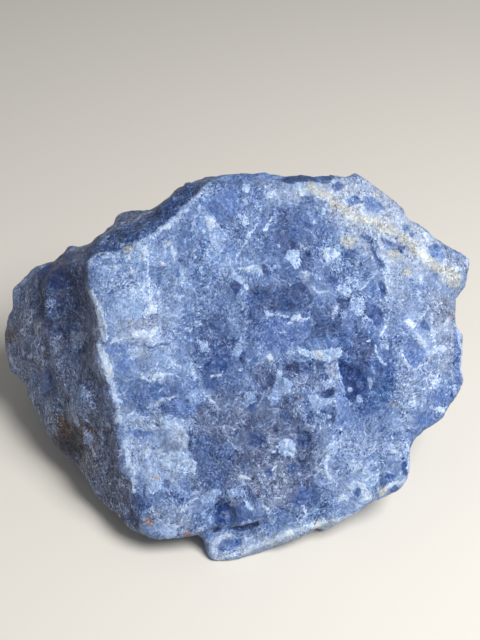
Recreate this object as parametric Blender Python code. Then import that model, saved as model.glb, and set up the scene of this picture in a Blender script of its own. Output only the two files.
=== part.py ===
"""A raw chunk of sodalite, as broken from its vein: one solid stone.

Corners are in millimetres on the axes of the stone's large fresh break, as if that break
lay flat: across it to the right, up it, and out of it. The stone is shaped in that
position, then tipped up to stand on its underside, which is made flat last.
"""

import math

import bmesh
import bpy
from mathutils import Matrix, Vector, noise

MM = 0.001

# How the stone stands: the slope of its fresh break, and how high the break's middle is
BREAK_SLOPE = 48.0
BREAK_MIDDLE_HEIGHT = 34.0

# How finely it is shaped, and how many triangles are kept
SHAPING_CELL = 0.6
TRIANGLES = 10400

# Natural relief: soft swells, and small flat facets that each lean their own way
SWELL_LENGTH = 11.0
FRESH_SWELL = 0.3
WEATHERED_SWELL = 0.6
FACET_SIZE = 6.5
FRESH_FACET_LEAN = 0.08
WEATHERED_FACET_LEAN = 0.15
# Depths below the break between which fresh rock turns to weathered rock
WEATHERING_START = 1.5
WEATHERING_DEPTH = 5.0

# Box that takes away what lies below the table's level
BELOW_TABLE = Vector((200.0, 200.0, 50.0))

# Rim of the fresh break, from its upper left corner round the top, the right and the foot
BREAK_RIM = [
    (-26.5, 10.0, -1.0),
    (-17.5, 14.0, -1.0),
    (-13.5, 16.5, -1.0),
    (-9.0, 20.5, -1.0),
    (-5.0, 24.0, -1.5),
    (1.0, 24.0, -1.5),
    (8.0, 25.0, -2.0),
    (16.0, 25.0, -1.5),
    (16.5, 26.5, -4.5),
    (22.0, 25.5, -2.5),
    (25.0, 23.0, -2.5),
    (28.5, 20.0, -2.0),
    (33.0, 14.5, -2.0),
    (36.5, 12.0, -2.5),
    (38.5, 5.0, -4.0),
    (39.5, -3.0, -5.5),
    (40.0, -11.0, -6.0),
    (37.5, -15.0, -4.5),
    (33.5, -18.5, -3.0),
    (29.5, -27.0, -2.5),
    (28.0, -30.0, -3.0),
    (22.0, -33.0, -2.5),
    (17.0, -35.0, -2.5),
    (10.0, -38.0, -2.5),
    (2.5, -40.5, -3.0),
    (-3.0, -42.5, -3.0),
    (-5.0, -42.5, -3.0),
    (-10.5, -38.0, -1.0),
    (-14.0, -38.0, -1.0),
    (-17.5, -36.5, -1.5),
    (-18.5, -29.5, -0.5),
    (-21.0, -22.0, -0.5),
    (-21.5, -16.0, -0.5),
    (-25.0, -4.5, -0.5),
    (-25.0, 1.0, -0.5),
    (-27.0, 6.0, -1.0),
]

# High places inside the rim, which give the break its few shallow facets
BREAK_CROWN = [
    (-15.0, 1.0, 0.5),
    (-1.0, 6.0, 1.0),
    (8.0, -12.0, 1.0),
    (-8.0, -19.0, 0.5),
    (21.0, 4.0, 0.0),
    (21.0, -16.0, 0.0),
]

# Far edge of the weathered left side, from the top of the stone round to its foot
LEFT_EDGE = [
    (-6.0, 26.5, -9.0),
    (-11.5, 26.0, -14.0),
    (-17.0, 22.0, -15.0),
    (-23.0, 20.0, -16.0),
    (-25.5, 18.0, -17.0),
    (-31.0, 15.0, -17.0),
    (-35.5, 13.5, -18.0),
    (-41.0, 9.5, -18.0),
    (-43.5, 7.0, -19.0),
    (-43.5, 4.5, -20.0),
    (-46.0, -2.0, -22.0),
    (-45.5, -6.5, -22.0),
    (-41.5, -13.0, -21.0),
    (-37.0, -20.5, -18.0),
    (-34.0, -23.5, -16.0),
    (-30.0, -27.5, -12.0),
    (-25.5, -32.0, -8.0),
    (-20.0, -36.0, -3.5),
]

# Corners of the back
BACK = [
    (-40.0, 0.0, -32.0),
    (-33.0, 7.0, -34.0),
    (-20.0, 15.0, -34.0),
    (-5.0, 21.5, -29.0),
    (10.0, 24.5, -23.5),
    (22.0, 23.5, -19.0),
    (32.0, 17.0, -18.0),
    (38.0, 9.0, -18.5),
    (38.0, 1.5, -31.0),
]

# Corners of the underside, a little below the level at which it is made flat
UNDERSIDE = [
    (-25.0, -32.0, -18.0),
    (-31.0, -23.0, -27.5),
    (-31.0, -14.5, -37.0),
    (-18.0, -8.5, -44.0),
    (8.0, -6.5, -46.0),
    (28.0, -11.5, -40.0),
    (34.0, -21.0, -29.5),
    (28.0, -30.5, -19.0),
    (14.0, -38.0, -11.0),
    (3.0, -42.0, -6.5),
    (-4.0, -43.0, -5.0),
    (-14.0, -38.0, -11.0),
]

# Pieces of rock that stand proud of the simple body
UPPER_RIGHT_KNOB = [
    (33.0, 14.5, -3.5),
    (39.5, 12.5, -4.0),
    (41.0, 10.5, -4.0),
    (40.0, 8.0, -4.5),
    (38.0, 5.5, -4.0),
    (33.0, 5.0, -4.0),
    (33.0, 15.5, -12.0),
    (40.5, 12.5, -9.0),
    (41.5, 9.5, -8.0),
    (39.5, 5.0, -10.0),
    (38.5, 9.0, -17.0),
    (34.0, 5.0, -20.0),
    (34.0, 14.0, -18.0),
]
LEFT_NUB = [
    (-44.0, 1.5, -19.5),
    (-46.5, -1.0, -22.5),
    (-46.5, -3.0, -23.0),
    (-44.5, -5.5, -22.0),
    (-40.0, -3.0, -18.0),
    (-41.0, 2.0, -30.0),
    (-41.0, -5.0, -30.0),
]
UPPER_LEFT_PLATE = [
    (-26.5, 9.5, -0.5),
    (-17.5, 13.0, -0.5),
    (-16.0, 12.5, 0.5),
    (-15.5, 6.0, 1.0),
    (-15.5, 1.5, 1.0),
    (-17.5, -2.0, 1.0),
    (-20.5, -3.5, 1.0),
    (-24.5, -4.5, 0.0),
    (-25.5, 1.0, 0.5),
    (-22.0, 3.0, -4.0),
    (-18.0, 8.0, -4.0),
]
LOWER_LEFT_PLATE = [
    (-17.0, -36.5, -1.0),
    (-14.0, -37.5, -0.5),
    (-6.5, -37.0, -0.5),
    (-4.0, -36.0, -0.5),
    (1.0, -35.5, -0.5),
    (5.5, -33.0, -0.5),
    (2.0, -28.0, 0.0),
    (-8.0, -27.0, 0.0),
    (-18.0, -29.0, -0.5),
    (-16.0, -34.0, -6.0),
    (3.0, -30.0, -6.0),
]

# Places where rock is missing, each wrapped by a cutter that reaches past the surface
NOTCH = [
    (29.5, -21.5, 4.0),
    (33.5, -18.5, 4.0),
    (37.0, -16.0, 4.0),
    (44.0, -16.0, 4.0),
    (44.0, -34.0, 4.0),
    (30.0, -27.0, 4.0),
    (29.5, -22.5, -34.0),
    (34.5, -19.5, -34.0),
    (45.0, -18.0, -34.0),
    (45.0, -38.0, -34.0),
    (30.5, -29.0, -34.0),
]
NOSE_SIDE = [
    (-6.5, -37.5, 4.0),
    (-5.5, -40.0, 4.0),
    (-5.0, -43.5, 4.0),
    (-22.0, -48.0, 4.0),
    (-18.0, -38.0, 4.0),
    (-7.0, -38.0, -9.0),
    (-5.5, -44.0, -9.0),
    (-22.0, -48.0, -9.0),
    (-17.0, -38.5, -9.0),
]
LEDGE_STEP = [
    (-8.0, -37.0, -2.0),
    (-1.5, -36.0, -2.0),
    (3.0, -36.0, -1.5),
    (9.0, -34.5, -1.0),
    (7.0, -34.0, 4.0),
    (-8.0, -37.0, 4.0),
    (-8.0, -47.0, 4.0),
    (-8.0, -47.0, -3.5),
    (9.0, -42.0, -2.5),
    (9.0, -42.0, 4.0),
]
LEDGE_SLIT = [
    (-2.0, -36.5, -1.5),
    (3.5, -36.0, -1.0),
    (2.5, -34.5, -3.0),
    (-1.5, -35.0, -3.5),
    (3.5, -37.0, -2.5),
    (-2.0, -37.0, -2.5),
]
RIGHT_FLAKE_OUTER = [
    (37.0, 3.0, 4.0),
    (37.0, -5.0, 4.0),
    (36.5, -16.0, 4.0),
    (46.0, -16.0, 4.0),
    (46.0, 3.0, 4.0),
    (37.5, 3.0, -4.5),
    (37.0, -5.0, -4.5),
    (36.5, -16.0, -5.0),
    (46.0, -16.0, -6.5),
    (46.0, 3.0, -6.0),
]
RIGHT_FLAKE_INNER = [
    (34.5, 5.5, 4.0),
    (34.5, -4.0, 4.0),
    (34.0, -13.0, 4.0),
    (38.5, -17.0, 4.0),
    (38.5, 4.5, 4.0),
    (35.0, 5.0, -2.5),
    (34.5, -4.0, -2.5),
    (34.0, -13.0, -3.0),
    (38.5, -17.0, -4.0),
    (38.5, 4.5, -4.0),
]

# Shell-shaped bites: centre, then half sizes across, up and out of the break
BITES = {
    "Hollow above the ledge": ((-2.5, -33.5, 1.0), (3.0, 2.5, 2.5)),
    "Deep blue pit": ((18.5, -10.5, 1.5), (2.0, 3.5, 2.5)),
    "Undercut left of the nose": ((-12.0, -41.0, -8.0), (6.0, 4.0, 5.0)),
    "Upper left edge, middle": ((-17.5, 28.5, -15.0), (8.0, 7.5, 10.0)),
    "Upper left edge, outer": ((-30.5, 20.0, -18.0), (7.5, 5.5, 9.0)),
    "Left shoulder": ((-38.5, 14.5, -17.0), (5.5, 3.5, 8.0)),
    "Dip in the top edge": ((2.0, 27.0, -3.0), (9.0, 3.0, 4.5)),
    "Right shoulder": ((34.5, 20.0, -6.0), (6.0, 4.0, 9.0)),
    "Hollow left side": ((-35.0, -5.0, 3.5), (10.0, 26.0, 14.0)),
    "Back, upper left": ((-14.0, 28.0, -36.0), (17.0, 13.0, 10.0)),
    "Back, upper right": ((20.0, 24.0, -33.0), (19.0, 12.0, 13.0)),
    "Back, far left": ((-36.0, 8.0, -40.0), (13.0, 14.0, 9.0)),
    "Back, middle": ((12.0, 6.0, -50.0), (21.0, 14.0, 12.0)),
    "Right side": ((52.0, -8.0, -27.0), (16.5, 19.0, 17.0)),
    "Left foot": ((-42.0, -22.0, -34.0), (12.0, 10.0, 14.0)),
}


def clear_scene():
    for item in list(bpy.data.objects):
        bpy.data.objects.remove(item, do_unlink=True)


def add_object(name, mesh):
    made = bpy.data.objects.new(name, mesh)
    bpy.context.scene.collection.objects.link(made)
    return made


def add_shape(name, shape):
    """An object from a finished bmesh."""
    mesh = bpy.data.meshes.new(name)
    shape.to_mesh(mesh)
    shape.free()
    return add_object(name, mesh)


def hull(name, corners):
    """A solid with flat faces that wraps the corners."""
    shape = bmesh.new()
    for corner in corners:
        shape.verts.new(Vector(corner) * MM)
    bmesh.ops.convex_hull(shape, input=shape.verts)
    bmesh.ops.recalc_face_normals(shape, faces=shape.faces)
    return add_shape(name, shape)


def bite(name, centre, half_sizes):
    """A squashed ball, which leaves the shallow shell-shaped hollow of a struck flake."""
    shape = bmesh.new()
    bmesh.ops.create_icosphere(shape, subdivisions=4, radius=MM)
    bmesh.ops.scale(shape, vec=half_sizes, verts=shape.verts)
    bmesh.ops.translate(shape, vec=Vector(centre) * MM, verts=shape.verts)
    return add_shape(name, shape)


def combine(body, other, operation):
    """Joins the other solid to the body, or takes it away, and hides it as a helper."""
    step = body.modifiers.new(other.name, "BOOLEAN")
    step.operation = operation
    step.solver = "EXACT"
    step.object = other
    other.hide_render = True
    other.display_type = "WIRE"


def remesh(body, cell):
    """Rebuilds the skin in even cells, so that one closed surface is left."""
    step = body.modifiers.new("Even skin", "REMESH")
    step.mode = "VOXEL"
    step.voxel_size = cell * MM
    step.adaptivity = 0.0


def finished_mesh(body, name):
    """A copy of the body's mesh with all its modifiers applied."""
    graph = bpy.context.evaluated_depsgraph_get()
    graph.update()
    mesh = bpy.data.meshes.new_from_object(body.evaluated_get(graph))
    mesh.name = name
    return mesh


def facet_height(point):
    """Height at a point of a field of small flat facets, before their lean is set."""
    place = point / FACET_SIZE
    centre = noise.voronoi(place)[1][0]
    direction = noise.cell_vector(centre * FACET_SIZE) * 2.0 - Vector((1.0, 1.0, 1.0))
    return (place - centre).dot(direction) * FACET_SIZE


def relief(point):
    """How far the natural skin stands out at a point, in millimetres."""
    weathering = min(1.0, max(0.0, (-point.z - WEATHERING_START) / WEATHERING_DEPTH))
    swell = FRESH_SWELL + (WEATHERED_SWELL - FRESH_SWELL) * weathering
    lean = FRESH_FACET_LEAN + (WEATHERED_FACET_LEAN - FRESH_FACET_LEAN) * weathering
    return noise.fractal(point / SWELL_LENGTH, 0.9, 2.1, 4) * swell + facet_height(point) * lean


def roughen(mesh):
    """Moves each vertex along its normal by the natural relief."""
    moves = [v.normal * relief(v.co / MM) * MM for v in mesh.vertices]
    for vertex, move in zip(mesh.vertices, moves):
        vertex.co += move


def thin_out(body, triangles):
    """Keeps the corners that carry the shape and drops the rest."""
    step = body.modifiers.new("Fewer faces", "DECIMATE")
    step.decimate_type = "COLLAPSE"
    step.ratio = triangles / (2 * len(finished_mesh(body, "count").polygons))
    step.use_collapse_triangulate = True


def tip_up(mesh):
    """Turns the stone from lying on its back to the way it stands."""
    turn = Matrix.Rotation(math.radians(BREAK_SLOPE), 4, "X")
    mesh.transform(Matrix.Translation((0, 0, BREAK_MIDDLE_HEIGHT * MM)) @ turn)


def centre_on_origin(mesh):
    """Puts the middle of the stone's outline over the origin, with its underside at zero."""
    across = [v.co.x for v in mesh.vertices]
    deep = [v.co.y for v in mesh.vertices]
    low = min(v.co.z for v in mesh.vertices)
    middle = (-(min(across) + max(across)) / 2, -(min(deep) + max(deep)) / 2, -low)
    mesh.transform(Matrix.Translation(middle))


def rough_body():
    """The stone lying on its back, with its knobs, steps, notch and bites."""
    body = hull("Body", BREAK_RIM + BREAK_CROWN + LEFT_EDGE + BACK + UNDERSIDE)
    added = {
        "Upper right knob": UPPER_RIGHT_KNOB,
        "Left nub": LEFT_NUB,
        "Upper left plate": UPPER_LEFT_PLATE,
        "Lower left plate": LOWER_LEFT_PLATE,
    }
    for name, corners in added.items():
        combine(body, hull(name, corners), "UNION")
    missing = {
        "Notch": NOTCH,
        "Side of the nose": NOSE_SIDE,
        "Step above the ledge": LEDGE_STEP,
        "Slit above the ledge": LEDGE_SLIT,
        "Outer flake": RIGHT_FLAKE_OUTER,
        "Inner flake": RIGHT_FLAKE_INNER,
    }
    for name, corners in missing.items():
        combine(body, hull(name, corners), "DIFFERENCE")
    for name, (centre, half_sizes) in BITES.items():
        combine(body, bite(name, centre, half_sizes), "DIFFERENCE")
    remesh(body, SHAPING_CELL)
    return body


def weathered_stone(body):
    """The standing stone with its natural roughness and far fewer faces."""
    mesh = finished_mesh(body, "Rough stone")
    roughen(mesh)
    tip_up(mesh)
    body.hide_render = True
    stone = add_object("Rough stone", mesh)
    remesh(stone, SHAPING_CELL)
    thin_out(stone, TRIANGLES)
    return stone


def cut_underside(stone):
    """Takes away all that lies below the table's level."""
    shape = bmesh.new()
    bmesh.ops.create_cube(shape, size=1.0)
    bmesh.ops.scale(shape, vec=BELOW_TABLE * MM, verts=shape.verts)
    bmesh.ops.translate(shape, vec=(0, 0, -BELOW_TABLE.z * MM / 2), verts=shape.verts)
    combine(stone, add_shape("Below the table", shape), "DIFFERENCE")


def sodalite():
    """Dull mid blue rock with a faint waxy shine."""
    made = bpy.data.materials.new("Raw sodalite")
    made.use_nodes = True
    surface = made.node_tree.nodes["Principled BSDF"]
    surface.inputs["Base Color"].default_value = (0.11, 0.18, 0.42, 1.0)
    surface.inputs["Roughness"].default_value = 0.55
    surface.inputs["Metallic"].default_value = 0.0
    made.diffuse_color = (0.11, 0.18, 0.42, 1.0)
    return made


def main():
    clear_scene()
    stone = weathered_stone(rough_body())
    cut_underside(stone)
    mesh = finished_mesh(stone, "sodalite_chunk")
    centre_on_origin(mesh)
    mesh.materials.clear()
    mesh.materials.append(sodalite())
    clear_scene()
    add_object("sodalite_chunk", mesh)


main()
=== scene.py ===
# %% [markdown]
# # A raw chunk of sodalite
#
# Sodalite is a deep blue mineral. When a block of it is split with a hammer, the break shows
# its inside: sugary blue grain, pale flakes where the blow bruised it, clear dark windows
# where a crystal split cleanly, and thin cream veins. The outside of the block has weathered
# to a dark, brown-grey skin.
#
# The CAD model gives the chunk its size and its large faces. This lesson keeps that form and
# adds what a plain solid lacks: the relief of the break, and the colours of its minerals.

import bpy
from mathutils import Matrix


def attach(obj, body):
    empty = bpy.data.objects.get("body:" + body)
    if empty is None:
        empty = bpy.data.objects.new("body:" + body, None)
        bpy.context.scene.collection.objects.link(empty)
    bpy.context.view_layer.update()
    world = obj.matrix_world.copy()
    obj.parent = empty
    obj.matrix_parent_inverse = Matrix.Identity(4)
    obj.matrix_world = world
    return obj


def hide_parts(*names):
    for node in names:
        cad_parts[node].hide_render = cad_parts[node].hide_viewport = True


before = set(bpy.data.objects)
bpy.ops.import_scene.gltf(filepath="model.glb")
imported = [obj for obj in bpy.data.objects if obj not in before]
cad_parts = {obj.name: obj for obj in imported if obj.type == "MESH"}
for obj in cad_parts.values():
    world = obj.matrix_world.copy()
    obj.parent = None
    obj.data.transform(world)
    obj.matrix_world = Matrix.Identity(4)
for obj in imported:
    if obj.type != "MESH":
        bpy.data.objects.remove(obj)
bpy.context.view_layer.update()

# %% Tools
import math

import bpy
import numpy as np
from mathutils import Vector, noise

MM = 0.001
print("Blender", bpy.app.version_string)

# %% [markdown]
# ## The break's own axes
#
# Nearly everything on this stone is measured on its large fresh break, a face that leans back
# by 48 degrees. It is easier to place a mark on a face when the ruler lies on that face, so
# the lesson works in the break's axes: u runs to the right, v runs up the slope, and w stands
# straight out of it. All three are in millimetres.

# %% The break's axes
BREAK_SLOPE = math.radians(48.0)
# the point of the break, in mm in the frame, that the camera looks at
BREAK_MIDDLE = np.array((2.21, -5.03, 34.0))
RIGHT = np.array((1.0, 0.0, 0.0))
UP_THE_BREAK = np.array((0.0, math.cos(BREAK_SLOPE), math.sin(BREAK_SLOPE)))
OUT_OF_THE_BREAK = np.array((0.0, -math.sin(BREAK_SLOPE), math.cos(BREAK_SLOPE)))
BREAK_AXES = np.array((RIGHT, UP_THE_BREAK, OUT_OF_THE_BREAK))


def on_the_break(places):
    """Places in the frame, in mm, as u, v and w on the break."""
    return (places - BREAK_MIDDLE) @ BREAK_AXES.T


print("the break faces", OUT_OF_THE_BREAK.round(2))

# %% [markdown]
# ## The camera
#
# The photograph looks down at the stone by 40 degrees, almost square on to the break. A 60 mm
# lens at 186 mm gives the same gentle perspective.

# %% Camera
CAMERA_ELEVATION = math.radians(40.0)
CAMERA_DISTANCE = 186.0
# the camera draws nothing nearer than this, in mm
NEAREST_SEEN = 10.0
TO_CAMERA = np.array((0.0, -math.cos(CAMERA_ELEVATION), math.sin(CAMERA_ELEVATION)))
EYE = BREAK_MIDDLE + CAMERA_DISTANCE * TO_CAMERA

bpy.ops.object.camera_add(
    location=Vector(EYE) * MM,
    rotation=(math.pi / 2 - CAMERA_ELEVATION, 0.0, 0.0),
)
camera = bpy.context.object
camera.data.sensor_fit = "VERTICAL"
camera.data.sensor_height = 36.0
camera.data.lens = 60.0
camera.data.clip_start = NEAREST_SEEN * MM
bpy.context.scene.camera = camera
print("camera at", EYE.round(1), "mm")

# %% [markdown]
# ## The rough shape
#
# The CAD solid is made of flat triangles of many sizes, which is right for a solid and useless
# for fine relief. A copy is merged into one skin, rebuilt as an even grid of small squares by a
# voxel remesh, and relaxed once, so that the sharp ridges of the chunk stay sharp. Nothing fine
# is drawn on the far side, so its skin is thinned out again.

# %% Helpers for a mesh
def choose_only(piece):
    """Makes one object the selected and the active one."""
    bpy.ops.object.select_all(action="DESELECT")
    piece.select_set(True)
    bpy.context.view_layer.objects.active = piece


def numbers(rows, name, width=3):
    """One property of every corner or face of a mesh, as rows of numbers."""
    flat = np.empty(len(rows) * width)
    rows.foreach_get(name, flat)
    return flat.reshape(-1, width)


def modify(piece, name, kind, **settings):
    """Adds one modifier with its settings and applies it."""
    modifier = piece.modifiers.new(name, kind)
    for setting, value in settings.items():
        setattr(modifier, setting, value)
    bpy.ops.object.modifier_apply(modifier=modifier.name)


# %% Copy the solid and merge its triangles
# corners closer than this, in mm, are one corner
SAME_PLACE = 0.001

cad_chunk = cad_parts["sodalite_chunk"]
stone = bpy.data.objects.new("sodalite_rock", cad_chunk.data.copy())
bpy.context.scene.collection.objects.link(stone)
stone.data.materials.clear()

choose_only(stone)
bpy.ops.object.mode_set(mode="EDIT")
bpy.ops.mesh.select_all(action="SELECT")
bpy.ops.mesh.remove_doubles(threshold=SAME_PLACE * MM)
bpy.ops.object.mode_set(mode="OBJECT")
print("merged copy:", len(stone.data.polygons), "faces")

# %% Rebuild its skin
# the side of one square of the even grid, in mm
SKIN_CELL = 0.42
# a corner that faces the camera less than this is on the far side; 1 would be square on
FAR_SIDE = 0.05
# the share of all faces that the thinning leaves
KEPT_SHARE = 0.58

modify(stone, "even grid", "REMESH", mode="VOXEL", voxel_size=SKIN_CELL * MM)
modify(stone, "relax", "SMOOTH", factor=0.5, iterations=1)
print("even skin:", len(stone.data.polygons), "faces")

facing = numbers(stone.data.vertex_normals, "vector") @ TO_CAMERA
far_side = stone.vertex_groups.new(name="far side")
far_side.add(np.flatnonzero(facing < FAR_SIDE).tolist(), 1.0, "REPLACE")
modify(stone, "thin out", "DECIMATE", ratio=KEPT_SHARE, vertex_group="far side")
print("far side thinned:", len(stone.data.polygons), "faces")

# %% [markdown]
# ## A map of the marks
#
# What makes this break recognisable is where its marks are. Each is drawn as a small outline of
# four to ten points, or as a line with a width, in millimetres across and up the break, as a
# mineral collector would sketch it. The first number of a row is its tone, from 0, blue-black,
# to 1, white. Three outlines are also pressed into the relief later, so they get names.

# %% Outlines that a mark and the relief share
FOOT_SLIT = [(-1.9, -36.2), (0.6, -35.6), (2.9, -34.8), (3.3, -35.4), (1.9, -36.2), (0.8, -36.6)]
ROUND_PIT = [(7.1, -8.6), (8.6, -7.9), (9.4, -7.1), (10.2, -7.9), (10.5, -9.5), (9.2, -8.9)]
LONG_PIT = [(13.8, -12.7), (15.0, -12.1), (16.7, -12.0), (16.3, -13.0), (15.2, -13.6), (14.2, -13.4)]
print("shared outlines of", len(FOOT_SLIT), len(ROUND_PIT), "and", len(LONG_PIT), "points")

# %% [markdown]
# ### Bruises
#
# Where the hammer crushed the crystal it is full of tiny cracks, and they throw all light back.
# These chips are the whitest marks. The same white lines the edges of the cleavage steps and
# the ridge, which took the blows.

# %% Bruised chips
BRUISES = (
    (0.86, [(-17.0, 13.1), (-16.1, 13.1), (-16.3, 10.4), (-17.2, 10.5)]),
    (0.92, [(-16.2, 4.8), (-15.6, 4.7), (-15.4, 2.9),
            (-14.4, 2.2), (-14.5, 1.1), (-16.1, 1.0), (-15.9, 2.6)]),
    (0.92, [(-18.4, -2.4), (-17.8, -1.9), (-15.6, -1.9), (-14.9, -1.0),
            (-14.4, -1.2), (-14.6, -2.6), (-15.6, -3.2), (-19.4, -3.1)]),
    (0.92, [(-14.0, 15.8), (-13.2, 16.8), (-12.1, 16.9), (-12.3, 15.8)]),
    (0.88, [(-19.9, 11.3), (-19.3, 11.4), (-18.9, 10.2), (-19.3, 10.1)]),
    (0.84, [(-12.2, 13.0), (-11.6, 13.0), (-11.3, 11.9), (-11.5, 10.4), (-12.0, 11.4)]),
    (0.94, [(-14.2, 10.3), (-13.2, 10.2), (-12.9, 9.4), (-13.7, 9.5)]),
    (0.86, [(-6.4, 18.3), (-5.1, 18.1), (-4.2, 16.9), (-5.2, 15.3), (-6.0, 16.6)]),
    (0.86, [(4.2, 21.2), (5.4, 22.3), (6.2, 21.7), (4.8, 20.9)]),
    (0.90, [(9.9, 22.9), (11.7, 22.9), (11.5, 21.8), (10.2, 21.5)]),
    (0.98, [(14.2, 12.2), (15.2, 12.5), (15.8, 11.3), (15.1, 10.3), (14.7, 11.0)]),
    (0.94, [(15.9, 11.9), (16.8, 12.2), (17.2, 11.2), (16.4, 10.7)]),
    (0.98, [(28.5, 0.1), (29.3, 0.3), (30.6, -0.8), (30.2, -1.5), (29.3, -1.0)]),
    (0.84, [(30.4, -1.9), (31.1, -2.2), (32.6, -4.3), (32.2, -4.9), (31.2, -4.0)]),
    (0.86, [(34.2, -4.8), (35.4, -4.2), (36.3, -4.8), (35.4, -5.4), (34.5, -5.3)]),
    (1.00, [(31.0, 12.1), (32.2, 12.5), (32.9, 11.3), (32.2, 9.9), (31.2, 10.7)]),
    (0.96, [(32.0, 14.9), (32.5, 14.9), (32.9, 13.6), (32.4, 13.7)]),
    (0.90, [(31.1, 8.0), (31.7, 8.0), (31.6, 6.3), (31.2, 6.5)]),
    (0.94, [(4.3, -6.2), (5.4, -5.9), (5.8, -6.8), (5.1, -7.5)]),
    (0.82, [(9.2, 0.9), (10.0, 1.2), (10.6, 0.5), (12.2, 0.2), (11.0, -0.3), (9.4, -0.2), (8.4, -0.7)]),
    (0.92, [(17.0, -31.4), (17.9, -30.2), (18.6, -30.4), (18.7, -31.4)]),
    (0.90, [(20.3, -27.9), (21.4, -28.0), (22.2, -29.4), (23.0, -30.8), (21.8, -31.2), (21.0, -29.8)]),
    (0.94, [(10.5, -32.0), (11.0, -32.0), (11.6, -33.3), (11.0, -33.4)]),
    (0.94, [(7.6, -36.4), (9.2, -36.2), (9.3, -36.9), (8.0, -37.4)]),
    (0.84, [(34.0, -15.0), (35.2, -14.9), (35.6, -15.9), (34.6, -16.2)]),
    (0.92, [(7.5, -20.8), (8.4, -20.7), (8.3, -22.0), (7.8, -22.0)]),
    (0.96, [(8.0, -22.6), (9.3, -23.4), (9.1, -23.9), (7.9, -23.2)]),
    (0.90, [(33.2, -10.3), (34.1, -10.2), (33.7, -11.2), (33.1, -11.1)]),
    (0.92, [(-11.4, -18.0), (-10.9, -17.8), (-10.0, -18.6), (-10.7, -19.0)]),
    (0.84, [(0.6, 6.3), (1.4, 6.2), (1.5, 5.3), (0.7, 5.4)]),
    (0.90, [(26.0, -22.3), (26.8, -22.1), (27.0, -22.8), (26.2, -23.0)]),
    (0.52, [(-34.4, 3.6), (-32.1, 4.0), (-32.2, 3.0), (-34.0, 2.6)]),
    (0.80, [(-11.6, 17.7), (-10.8, 17.9), (-10.5, 17.3), (-11.3, 17.0)]),
    (0.78, [(-6.2, 18.2), (-5.4, 18.1), (-4.9, 16.8), (-5.6, 15.8), (-6.0, 16.6)]),
    (0.84, [(26.4, 18.8), (27.6, 18.3), (27.2, 18.0), (26.6, 18.2)]),
    (0.86, [(17.9, 18.3), (18.8, 18.3), (19.2, 17.7), (18.4, 17.1)]),
    (0.84, [(19.3, 22.5), (19.9, 22.6), (20.0, 21.8), (19.5, 21.6)]),
    (0.84, [(-14.2, -12.3), (-13.6, -11.9), (-13.3, -12.2), (-13.9, -12.6)]),
    (0.80, [(-13.4, 1.2), (-12.9, 1.2), (-12.9, 0.8), (-13.3, 0.8)]),
    (0.82, [(22.1, -3.4), (22.8, -3.4), (22.7, -4.0), (22.2, -3.9)]),
    (0.78, [(18.7, -11.6), (19.2, -11.6), (19.3, -12.1), (18.8, -12.2)]),
    (0.90, [(31.4, -11.8), (31.9, -11.5), (32.1, -12.0), (31.6, -12.3)]),
    (0.92, [(29.4, -14.2), (29.9, -14.1), (29.9, -14.9), (29.5, -14.9)]),
    (0.84, [(5.2, -22.8), (5.9, -22.3), (6.0, -22.7), (5.5, -23.0)]),
    (0.76, [(3.2, -36.4), (3.9, -36.2), (4.0, -36.8), (3.4, -36.9)]),
)

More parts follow.
